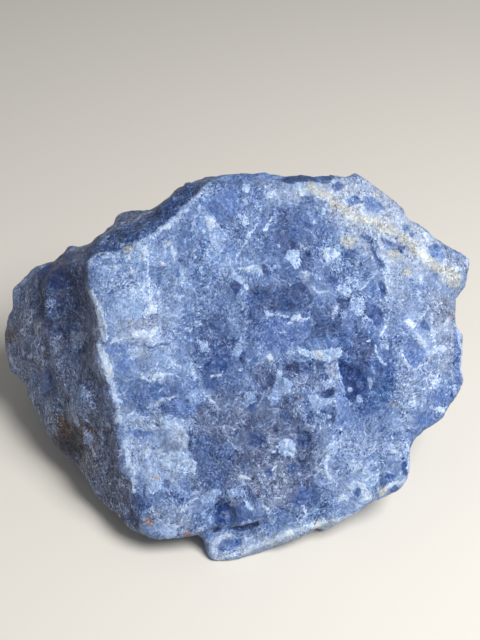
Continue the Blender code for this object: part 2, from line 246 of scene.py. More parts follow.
# %% Bruised edges
# tone, width in mm, then the points of a line
BRUISED_EDGES = (
    # cleavage edges, bruised white along their tops
    (0.84, 0.35, [(-16.2, 10.4), (-16.0, 7.5), (-16.05, 4.8)]),
    (0.86, 0.40, [(-19.4, -3.0), (-21.2, -3.4), (-22.6, -4.1)]),
    (0.80, 0.35, [(0.0, 8.9), (1.6, 9.1), (3.1, 9.5)]),
    (0.78, 0.30, [(5.0, 0.8), (6.4, 0.9), (8.5, 0.6)]),
    (0.82, 0.40, [(5.6, 18.0), (5.0, 17.0), (4.2, 15.6)]),
    (0.80, 0.30, [(3.0, 18.0), (3.0, 16.8), (1.6, 14.8)]),
    (0.80, 0.35, [(-0.8, 9.9), (-0.3, 11.6), (1.2, 13.6)]),
    (0.80, 0.30, [(-8.6, -1.9), (-7.0, -0.7)]),
    (0.80, 0.30, [(-14.8, -14.8), (-13.4, -13.7), (-11.2, -13.5)]),
    (0.80, 0.35, [(-12.4, -6.6), (-11.4, -7.8), (-10.0, -8.4)]),
    (0.80, 0.35, [(-5.0, -9.9), (-4.0, -9.5), (-3.2, -9.7)]),
    (0.80, 0.50, [(15.0, -23.4), (14.8, -25.6), (15.4, -27.4), (16.4, -27.9)]),
    (0.84, 0.40, [(19.4, -24.8), (20.6, -25.5), (21.3, -26.2)]),
    (0.84, 0.30, [(5.5, -25.8), (6.4, -25.3)]),
    (0.84, 0.45, [(0.1, -27.2), (1.8, -27.7)]),
    (0.84, 0.50, [(4.0, -32.2), (5.0, -33.1)]),
    (0.80, 0.30, [(24.4, -2.6), (25.2, -1.2), (25.9, 0.5)]),
    (0.80, 0.40, [(23.6, -4.4), (24.0, -6.2), (24.8, -7.4), (25.4, -7.8)]),
    (0.84, 0.35, [(28.3, -6.0), (28.9, -7.4), (30.4, -8.6), (32.6, -7.2), (33.8, -5.6)]),
    (0.84, 0.35, [(33.4, 1.2), (33.4, -1.8), (34.0, -4.4), (34.6, -6.4), (35.6, -8.2)]),
    (0.80, 0.40, [(36.8, -0.4), (37.6, -1.0), (38.0, -2.0), (38.5, -5.0), (38.6, -9.0)]),
    (0.86, 0.70, [(-4.7, -40.0), (-4.5, -38.8), (-3.5, -37.6), (-1.8, -37.1)]),
    (0.86, 0.80, [(-3.5, -41.1), (0.0, -40.3), (4.0, -38.7), (7.0, -37.5),
                  (10.0, -36.2), (14.0, -35.2), (16.5, -34.6)]),
    (0.84, 0.60, [(17.0, -34.4), (20.0, -33.5), (23.0, -32.3), (27.5, -30.2),
                  (29.1, -28.6), (28.6, -27.9), (26.2, -28.3), (24.4, -29.6)]),
    (0.84, 0.35, [(29.0, -21.8), (29.2, -24.5), (29.1, -27.6)]),
    (0.82, 0.30, [(12.8, 5.8), (13.5, 4.9), (15.2, 4.8)]),
    (0.78, 0.35, [(21.2, 5.4), (22.6, 7.0), (24.0, 8.6)]),
    (0.72, 0.45, [(-5.9, -13.2), (-4.6, -14.4), (-3.6, -15.6)]),
    (0.80, 0.30, [(24.8, 9.0), (25.4, 7.0), (25.9, 4.6)]),
    (0.76, 0.45, [(-26.2, 9.6), (-25.4, 11.0), (-23.6, 11.9), (-22.2, 11.4), (-21.9, 10.4)]),
    (0.76, 0.35, [(-24.2, 9.2), (-22.6, 8.8), (-20.4, 9.8)]),
    (0.76, 0.35, [(-9.8, -33.0), (-8.8, -31.4), (-7.4, -30.8)]),
    (0.74, 0.35, [(-14.8, -4.0), (-12.8, -3.7)]),
    (0.74, 0.50, [(-19.2, -5.8), (-18.2, -4.9)]),
    (0.84, 0.40, [(-15.0, -9.6), (-14.2, -9.2), (-13.6, -9.6)]),
    (0.80, 0.40, [(-14.0, -10.4), (-13.4, -9.9)]),
    (0.76, 0.40, [(-17.0, -9.9), (-15.4, -10.8)]),
    (0.74, 0.40, [(-8.4, -9.2), (-7.6, -9.9)]),
    (0.80, 0.30, [(7.1, -2.2), (8.0, -2.2)]),
    (0.72, 0.30, [(21.0, -26.0), (23.2, -24.9)]),
    (0.72, 0.40, [(-10.6, -29.2), (-9.6, -30.0)]),
    (0.84, 0.35, [(1.0, -38.0), (2.0, -37.4)]),
    # streaks in the upper left
    (0.80, 0.30, [(-13.2, 12.9), (-13.1, 11.2)]),
    # chips along the ridge
    (0.84, 0.9, [(-26.1, 4.8), (-25.4, 3.8), (-24.8, 2.6)]),
    (0.88, 1.3, [(-24.5, 1.6), (-24.2, 0.2), (-23.9, -1.6), (-23.7, -3.2)]),
    (0.84, 1.0, [(-24.6, -4.2), (-24.0, -5.6)]),
    (0.90, 1.4, [(-23.5, -6.4), (-23.0, -8.2), (-22.6, -9.8)]),
    (0.82, 0.8, [(-22.5, -10.0), (-22.0, -12.0), (-21.7, -13.8)]),
    (0.74, 0.6, [(-21.2, -14.0), (-20.9, -17.6)]),
    (0.84, 0.8, [(-19.9, -21.2), (-19.5, -23.4), (-19.2, -25.2)]),
    (0.78, 0.6, [(-18.3, -26.0), (-18.5, -28.0), (-18.2, -29.6)]),
)
print(len(BRUISES), "bruised chips and", len(BRUISED_EDGES), "bruised edges")

# %% [markdown]
# ### Pale flakes
#
# A flake is a thin chip of crystal that has half come away. Light that gets in behind it comes
# out again, so it looks sky blue on the darker stone. Seen from the side it is a pale streak.

# %% Pale flakes
PALE_FLAKES = (
    (0.70, [(-6.4, 18.4), (-5.0, 18.1), (-2.5, 15.1), (-3.4, 12.6), (-4.7, 12.8), (-5.6, 15.0)]),
    (0.76, [(-0.3, 18.6), (0.7, 18.6), (1.7, 16.9), (0.9, 16.2), (0.2, 17.0)]),
    (0.74, [(-18.0, 13.3), (-16.1, 13.1), (-16.0, 10.4), (-17.3, 10.2), (-17.6, 11.8)]),
    (0.64, [(-4.6, 13.6), (-3.4, 13.8), (-3.3, 11.0), (-4.0, 11.2)]),
    (0.72, [(-2.6, 10.8), (-1.8, 10.2), (-1.2, 10.3), (-2.2, 11.2)]),
    (0.72, [(-1.8, 7.6), (0.4, 7.8), (0.9, 6.4), (0.2, 6.2), (-0.8, 7.0)]),
    (0.66, [(5.2, 8.8), (6.0, 9.7), (6.4, 9.2), (5.6, 8.4)]),
    (0.66, [(3.1, 7.7), (3.8, 7.6), (3.8, 8.8), (3.2, 8.7)]),
    (0.68, [(6.4, 13.3), (7.0, 13.4), (7.0, 12.6), (6.5, 12.6)]),
    (0.62, [(2.5, 14.3), (3.3, 14.4), (3.6, 13.8), (2.8, 13.8)]),
    (0.80, [(4.3, 21.6), (4.8, 22.6), (6.2, 22.5), (6.6, 21.7), (5.2, 21.2)]),
    (0.74, [(9.4, 24.2), (11.4, 24.4), (11.6, 23.2), (10.0, 22.8)]),
    (0.78, [(14.3, 19.8), (15.0, 19.4), (15.0, 18.3), (14.2, 18.4)]),
    (0.66, [(14.0, 12.8), (15.6, 12.8), (17.4, 13.4), (17.8, 11.4), (17.4, 9.9), (15.0, 9.9)]),
    (0.62, [(18.8, 8.2), (19.2, 8.2), (19.4, 6.9), (18.9, 6.8)]),
    (0.72, [(15.9, 0.9), (16.2, 2.2), (16.9, 2.2), (17.0, 1.0), (16.4, 0.6)]),
    (0.66, [(17.4, 1.2), (18.6, 1.4), (18.6, 0.4), (17.6, 0.1)]),
    (0.66, [(-24.6, 5.6), (-23.9, 6.4), (-23.2, 6.1), (-23.6, 5.4)]),
    (0.64, [(-15.2, -5.2), (-12.4, -5.0), (-11.8, -6.4), (-13.4, -7.0), (-15.0, -7.8), (-15.6, -6.6)]),
    (0.68, [(-12.2, -4.0), (-11.0, -4.2), (-11.2, -5.2), (-12.0, -5.0)]),
    (0.74, [(3.8, 1.6), (4.8, 1.7), (5.2, 0.8), (4.7, 0.2), (4.4, 0.9)]),
    (0.72, [(-0.5, -8.4), (0.4, -8.3), (0.5, -8.9), (-0.2, -9.1)]),
    (0.62, [(12.5, -8.8), (13.3, -8.7), (13.4, -9.3), (12.8, -9.4)]),
    (0.64, [(11.6, -13.4), (13.4, -13.0), (14.4, -14.8), (13.8, -16.6), (12.6, -15.2)]),
    (0.68, [(13.2, -13.8), (16.6, -13.6), (16.9, -14.4), (14.6, -14.8), (13.4, -15.2)]),
    (0.74, [(15.2, -16.5), (15.8, -16.3), (15.8, -17.1), (15.3, -17.2)]),
    (0.64, [(24.2, 2.6), (24.8, 2.6), (24.7, 1.9), (24.3, 2.0)]),
    (0.66, [(26.0, -18.8), (28.2, -18.4), (28.6, -19.2), (26.4, -19.4)]),
    (0.60, [(-7.0, -30.6), (-5.4, -29.6), (-3.4, -29.2), (-3.0, -30.2), (-4.8, -31.0), (-6.4, -32.0)]),
    (0.60, [(-2.4, -29.4), (0.4, -29.0), (1.0, -30.4), (-1.6, -30.8)]),
    (0.68, [(0.9, -31.4), (1.6, -31.6), (2.3, -32.8), (1.7, -33.0)]),
    (0.70, [(5.2, -35.0), (6.0, -34.2), (6.4, -34.6), (5.8, -35.4)]),
    (0.66, [(-7.0, -36.2), (-6.3, -35.2), (-5.8, -35.6), (-6.4, -36.6)]),
    (0.76, [(0.2, 21.3), (1.3, 21.4), (1.8, 20.5), (0.9, 20.0)]),
    (0.78, [(0.3, 24.0), (1.8, 23.9), (1.6, 22.4), (0.6, 22.2)]),
    (0.76, [(8.1, 12.1), (10.2, 12.4), (10.6, 11.0), (10.4, 8.9), (9.3, 8.9), (8.8, 10.2), (7.9, 10.7)]),
    (0.72, [(12.6, 17.7), (13.1, 17.8), (13.4, 16.6), (12.8, 16.4)]),
    (0.76, [(16.6, 5.5), (17.6, 6.2), (19.3, 5.8), (19.3, 3.8), (18.0, 4.2), (16.9, 4.7)]),
    (0.68, [(19.3, 4.0), (21.6, 4.1), (21.7, 1.2), (20.3, 0.6), (19.2, 2.2)]),
    (0.84, [(30.9, 1.2), (33.1, 2.1), (31.8, 0.4), (31.1, 0.0)]),
    (0.70, [(-7.8, -3.5), (-5.6, -3.6), (-5.4, -5.6), (-6.6, -5.6), (-7.1, -4.4)]),
    (0.78, [(10.0, -4.9), (12.2, -5.4), (13.6, -5.3), (17.8, -4.6),
            (17.6, -6.4), (15.8, -7.4), (13.6, -6.9), (10.4, -5.9)]),
    (0.74, [(6.3, -21.6), (7.3, -20.7), (8.7, -20.5),
            (9.6, -21.5), (9.4, -24.0), (8.2, -23.8), (6.5, -22.8)]),
    (0.76, [(-13.9, -24.4), (-12.6, -23.3), (-10.6, -22.6), (-8.9, -23.6),
            (-7.4, -24.7), (-7.9, -26.7), (-10.6, -26.4), (-12.9, -26.1)]),
    (0.78, [(-14.2, -18.9), (-13.8, -16.8), (-12.2, -16.8), (-10.1, -18.6), (-11.4, -19.0)]),
    (0.76, [(-20.4, -16.2), (-18.4, -16.0), (-16.6, -16.7), (-17.0, -17.6), (-20.2, -17.5)]),
    (0.60, [(-9.8, -13.7), (-8.8, -12.5), (-6.3, -11.9), (-5.8, -14.0), (-7.0, -14.5), (-8.6, -14.2)]),
    (0.70, [(-16.3, -28.0), (-14.5, -25.5), (-13.4, -28.0),
            (-13.8, -29.2), (-15.2, -30.2), (-16.0, -30.2)]),
    (0.74, [(-14.3, -36.4), (-12.6, -35.2), (-10.9, -35.4), (-10.8, -37.0), (-12.2, -38.0)]),
    (0.62, [(6.5, -9.1), (8.1, -10.2), (9.2, -11.4), (8.6, -12.6), (7.2, -13.4),
            (6.3, -14.9), (5.3, -15.0), (5.0, -13.8), (5.7, -12.1)]),
    (0.66, [(22.3, -10.2), (22.9, -10.2), (22.9, -12.0), (22.4, -12.2)]),
    (0.64, [(20.3, -13.0), (21.2, -13.2), (21.3, -14.2), (20.4, -14.6)]),
    (0.72, [(18.5, -28.8), (19.9, -27.6), (20.2, -28.6), (19.3, -29.8)]),
    (0.70, [(14.6, -22.0), (16.6, -20.6), (17.4, -21.2), (17.0, -22.4), (15.4, -24.0)]),
    (0.68, [(21.5, -26.2), (24.2, -25.9), (24.2, -27.5), (22.5, -29.5), (20.6, -27.6)]),
    (0.64, [(-4.0, 10.0), (-1.6, 9.9), (-0.2, 7.4), (-1.0, 6.9), (-3.0, 7.8), (-4.2, 8.8)]),
    (0.68, [(-20.4, 5.8), (-16.4, 5.2), (-16.0, 1.2), (-18.0, 0.0), (-20.6, 0.8), (-22.5, 2.5)]),
    (0.62, [(1.0, -15.2), (0.5, -12.4), (2.6, -12.6), (2.8, -14.2)]),
    (0.64, [(-0.6, -6.8), (-1.5, -5.8), (-0.4, -4.0), (0.6, -4.2), (0.3, -5.2)]),
    (0.60, [(14.4, -10.8), (15.8, -10.4), (17.0, -11.4), (15.0, -12.2)]),
    (0.48, [(-29.4, -1.5), (-26.8, -2.0), (-27.2, -4.2), (-29.0, -5.6)]),
    (0.42, [(-29.5, -12.0), (-27.0, -11.0), (-25.0, -15.0), (-27.0, -16.8), (-29.0, -15.5)]),
    (0.40, [(-27.4, -19.6), (-26.2, -19.0), (-25.0, -20.4), (-25.8, -21.8), (-27.0, -21.0)]),
)

# %% Pale streaks
# tone, width in mm, then the points of a line
PALE_STREAKS = (
    # edges of cleavage steps, and flakes seen from the side
    (0.66, 0.90, [(-18.4, 13.2), (-15.4, 14.5), (-13.8, 16.0), (-11.0, 18.1), (-8.4, 20.6), (-5.4, 23.9)]),
    (0.72, 0.40, [(-1.4, -35.7), (0.4, -35.2), (1.8, -34.6)]),
    (0.70, 0.40, [(-22.0, -3.3), (-20.0, -2.7)]),
    (0.70, 0.50, [(6.2, -8.6), (7.0, -9.4), (7.6, -10.6), (8.4, -12.0)]),
    (0.62, 0.45, [(1.0, 13.6), (-0.2, 12.2)]),
    (0.62, 0.45, [(1.3, 12.8), (2.3, 11.4)]),
    (0.66, 0.40, [(17.0, -7.4), (17.3, -9.6), (18.2, -12.8)]),
    (0.66, 0.35, [(21.5, 0.2), (21.8, -1.2), (22.4, -2.4)]),
    (0.70, 0.35, [(21.6, 0.4), (23.0, -0.2)]),
    (0.72, 0.40, [(22.6, 16.0), (23.4, 14.2), (23.6, 12.8), (24.4, 11.2), (25.4, 10.4), (25.6, 9.0)]),
    (0.74, 0.60, [(25.9, 9.6), (26.1, 6.2)]),
    (0.70, 0.35, [(33.0, 1.0), (33.4, -1.0), (33.9, -3.4), (34.1, -4.8), (35.2, -6.4), (35.4, -7.6)]),
    (0.64, 0.50, [(36.4, -6.0), (36.8, -9.0), (37.4, -12.6)]),
    (0.74, 0.35, [(32.6, -12.0), (33.6, -11.0)]),
    (0.72, 0.50, [(14.9, -23.4), (14.8, -26.0), (15.6, -27.6), (16.6, -27.4), (16.8, -26.0)]),
    (0.64, 0.30, [(-2.0, -20.8), (-0.6, -22.6), (0.7, -22.9)]),
    (0.56, 0.45, [(3.2, -27.0), (4.2, -29.0), (6.2, -31.4)]),
    # streaks in the upper left
    (0.72, 0.35, [(-9.5, 14.4), (-9.7, 13.2)]),
    (0.70, 0.45, [(-8.2, 17.0), (-8.4, 15.8)]),
    (0.70, 0.40, [(-8.4, 12.2), (-8.0, 11.0)]),
    (0.70, 0.35, [(-11.4, 4.4), (-11.2, 3.4), (-10.6, 3.4)]),
    (0.76, 0.80, [(-10.2, 9.0), (-10.0, 7.4), (-10.2, 6.4)]),
    (0.72, 0.40, [(-9.8, 5.6), (-9.9, 4.2), (-11.2, 3.8)]),
    (0.70, 0.45, [(-7.0, 9.8), (-6.8, 8.0)]),
    (0.72, 0.40, [(-5.9, 12.2), (-5.6, 10.5)]),
    # the far rim of the weathered face
    (0.42, 1.0, [(-39.3, 5.8), (-36.4, 8.8), (-33.0, 11.6)]),
    (0.38, 0.8, [(-39.2, 5.0), (-39.2, 0.0)]),
    # streaks on the weathered side and along the crown
    (0.46, 0.70, [(-29.2, -14.2), (-28.6, -16.0), (-28.2, -18.0)]),
    (0.46, 0.30, [(-26.2, -12.2), (-25.4, -14.4)]),
    (0.42, 0.40, [(-25.8, -22.0), (-24.6, -24.4)]),
    (0.44, 0.35, [(-24.2, 13.4), (-23.0, 14.6)]),
    (0.46, 0.35, [(-20.8, 16.8), (-19.4, 17.9)]),
    (0.50, 0.35, [(-17.6, 17.6), (-17.1, 18.0)]),
    (0.46, 0.60, [(-11.4, 21.2), (-10.4, 21.6)]),
    (0.44, 0.50, [(-27.0, -16.6), (-25.4, -18.6), (-23.6, -20.4), (-24.4, -22.2)]),
)
print(len(PALE_FLAKES), "pale flakes and", len(PALE_STREAKS), "pale streaks")

# %% [markdown]
# ### Clear windows
#
# Where a crystal split along one smooth plane, the eye looks into it as through a window. Light
# sinks in and little returns, so a window is royal blue, calm inside and a little glossy.

# %% Clear windows
CLEAR_WINDOWS = (
    (0.26, [(8.6, 16.4), (9.8, 16.1), (10.0, 14.6), (8.8, 14.3)]),
    (0.30, [(11.0, 17.6), (12.9, 16.7), (12.5, 15.8), (11.2, 16.1)]),
    (0.20, [(17.2, -7.5), (18.6, -7.3), (20.3, -8.2), (22.2, -10.6), (22.0, -12.0),
            (20.6, -12.9), (19.6, -14.4), (18.5, -13.4), (17.9, -11.2), (17.2, -9.6)]),
    (0.34, [(31.9, 0.3), (32.5, -0.2), (33.3, -1.9), (32.0, -1.6), (31.3, -0.8)]),
    (0.52, [(33.9, -13.0), (34.9, -11.4), (36.5, -12.2), (36.6, -14.2), (35.2, -14.6), (33.9, -15.2)]),
    (0.36, [(8.7, -31.4), (10.0, -29.9), (10.6, -28.9),
            (13.3, -29.4), (13.7, -30.8), (11.4, -31.9), (9.4, -32.3)]),
    (0.20, [(-4.3, -33.4), (-3.0, -31.8), (-1.7, -31.4),
            (-1.9, -32.8), (-2.8, -34.6), (-3.6, -35.9), (-4.4, -35.2)]),
    (0.40, [(-1.8, -32.6), (0.4, -31.6), (2.4, -33.4), (2.6, -34.6),
            (0.6, -34.8), (-1.6, -35.6), (-2.8, -35.4)]),
    (0.42, [(-3.9, -39.6), (-3.2, -38.2), (-1.0, -37.8),
            (0.4, -37.6), (0.2, -38.8), (-1.6, -39.6), (-3.2, -40.2)]),
    (0.30, [(1.2, -15.2), (2.4, -14.6), (3.1, -15.4), (2.4, -16.2), (1.6, -16.0)]),
    (0.30, [(1.0, 3.4), (1.6, 4.7), (4.6, 4.5), (4.9, 3.4), (3.0, 3.2)]),
    (0.50, [(17.9, -0.4), (18.8, 0.5), (19.8, 0.2), (19.8, -1.6),
            (19.2, -2.7), (18.4, -2.5), (17.9, -1.4)]),
    (0.48, [(11.4, -3.8), (12.6, -3.2), (15.0, -2.9),
            (17.4, -2.9), (17.8, -4.0), (16.0, -4.6), (13.4, -4.9)]),
    (0.30, [(10.3, -7.4), (12.6, -7.3), (12.6, -9.2), (11.4, -9.4), (10.6, -8.8)]),
    (0.34, [(24.6, -5.6), (25.4, -4.9), (26.4, -5.4), (26.8, -6.6), (25.6, -7.4), (24.9, -6.8)]),
    (0.54, [(16.7, -12.4), (17.9, -13.2), (19.2, -15.0), (17.6, -17.0), (16.8, -18.6), (16.6, -16.0)]),
    (0.46, [(32.6, 9.0), (34.4, 8.8), (34.8, 7.8), (33.6, 7.6)]),
    (0.44, [(30.4, 6.0), (31.6, 6.2), (32.3, 5.4), (31.0, 5.0)]),
    (0.50, [(28.3, 16.6), (29.4, 16.8), (29.6, 15.8), (28.7, 15.5)]),
    (0.42, [(29.6, 15.4), (30.4, 15.4), (30.4, 14.5), (29.8, 14.4)]),
    (0.38, [(19.6, -30.2), (20.4, -28.8), (21.0, -29.6), (20.4, -30.6)]),
    (0.46, [(-20.4, -19.4), (-18.0, -19.0), (-15.2, -19.4), (-15.0, -20.2), (-18.0, -20.4)]),
    (0.20, [(4.1, -26.6), (5.0, -25.5), (5.9, -26.4), (5.2, -27.5)]),
    (0.32, [(8.2, -25.2), (9.7, -24.8), (9.8, -26.2), (8.8, -26.9)]),
    (0.32, [(-5.8, -5.8), (-4.2, -4.8), (-2.6, -4.8), (-2.0, -6.2), (-2.4, -9.0),
            (-3.4, -11.8), (-5.8, -12.0), (-6.8, -9.4), (-6.2, -7.2)]),
    (0.50, [(-20.4, -10.6), (-17.4, -10.2), (-13.4, -11.2), (-9.4, -12.0),
            (-12.0, -13.4), (-15.2, -14.3), (-17.4, -14.8), (-19.4, -12.6)]),
    (0.48, [(-14.3, -14.9), (-12.6, -14.0), (-9.4, -14.0), (-7.3, -15.0), (-8.8, -16.5), (-12.6, -16.4)]),
    (0.46, [(3.7, 0.3), (5.0, 1.1), (8.5, 0.2), (12.0, -0.2), (12.2, -2.4),
            (9.6, -4.9), (7.0, -5.6), (4.2, -5.2), (2.4, -2.0)]),
    (0.32, [(14.9, 6.6), (15.6, 7.6), (17.0, 7.2), (17.2, 6.0), (15.6, 5.8)]),
    (0.28, [(15.7, 23.4), (17.4, 24.5), (18.3, 23.6), (17.0, 22.3)]),
    (0.46, [(18.5, 21.2), (20.2, 22.0), (21.5, 20.9), (20.2, 20.2), (19.0, 20.3)]),
    (0.56, [(21.6, 21.8), (23.0, 21.7), (25.3, 19.6), (23.6, 18.6), (21.7, 19.3)]),
    (0.56, [(32.8, 12.9), (34.4, 13.3), (35.9, 11.0), (35.0, 9.9), (33.5, 11.0)]),
    (0.52, [(28.4, -5.0), (29.2, -3.6), (30.5, -3.4), (31.6, -5.2),
            (32.5, -5.4), (31.2, -7.4), (30.4, -8.4), (29.2, -7.8)]),
    (0.33, [(20.7, -15.2), (22.4, -14.2), (23.9, -14.6), (23.4, -16.1), (21.4, -16.9)]),
    (0.56, [(16.8, -16.6), (18.2, -14.6), (20.0, -16.2), (21.9, -17.8),
            (21.3, -19.7), (19.6, -19.9), (18.4, -18.8), (16.8, -18.4)]),
    (0.26, [(27.9, -24.6), (28.9, -24.4), (29.1, -26.9), (28.2, -26.8)]),
    (0.36, [(24.0, -27.6), (25.6, -26.5), (27.3, -26.8), (26.2, -28.2), (24.6, -29.1)]),
    (0.32, [(25.7, -29.3), (27.0, -28.5), (27.7, -29.2), (26.6, -30.1)]),
    (0.30, [(23.3, -8.6), (24.4, -7.7), (25.6, -7.1), (26.5, -8.0), (25.2, -9.7), (23.7, -9.7)]),
    (0.32, [(21.7, 3.0), (24.2, 2.4), (25.2, 0.8), (24.2, -1.7), (22.4, 0.8)]),
    (0.30, [(24.1, 6.8), (25.2, 6.5), (25.5, 4.6), (24.6, 3.7)]),
    (0.54, [(21.2, 5.4), (23.6, 7.4), (23.8, 5.2), (22.6, 4.4)]),
    (0.46, [(37.4, -1.6), (38.0, -1.8), (38.4, -5.0),
            (38.5, -11.0), (37.9, -11.4), (37.2, -9.0), (37.2, -4.0)]),
    (0.50, [(-6.2, 19.8), (-4.2, 22.0), (-1.8, 23.1), (-0.6, 22.0),
            (-0.7, 19.4), (-2.0, 17.4), (-2.7, 15.7), (-4.6, 18.3)]),
    (0.48, [(30.4, -16.6), (33.6, -15.9), (34.0, -17.6), (31.0, -18.2)]),
    (0.52, [(-21.8, -6.2), (-19.5, -6.0), (-18.4, -7.5), (-20.0, -9.4), (-21.5, -8.6)]),
    (0.54, [(-23.6, -5.4), (-22.4, -4.2), (-20.2, -4.2), (-19.6, -5.2), (-21.4, -5.9), (-23.4, -6.4)]),
    (0.18, [(-27.6, 9.4), (-26.6, 9.8), (-26.4, 6.8), (-27.4, 6.6)]),
    (0.10, [(-35.2, 8.0), (-33.0, 11.5), (-29.6, 11.8), (-29.5, 6.5), (-31.0, 5.5), (-35.0, 6.5)]),
    (0.36, [(-35.6, -8.5), (-33.0, -8.5), (-32.4, -11.0), (-34.5, -12.5)]),
)
print(len(CLEAR_WINDOWS), "clear windows")
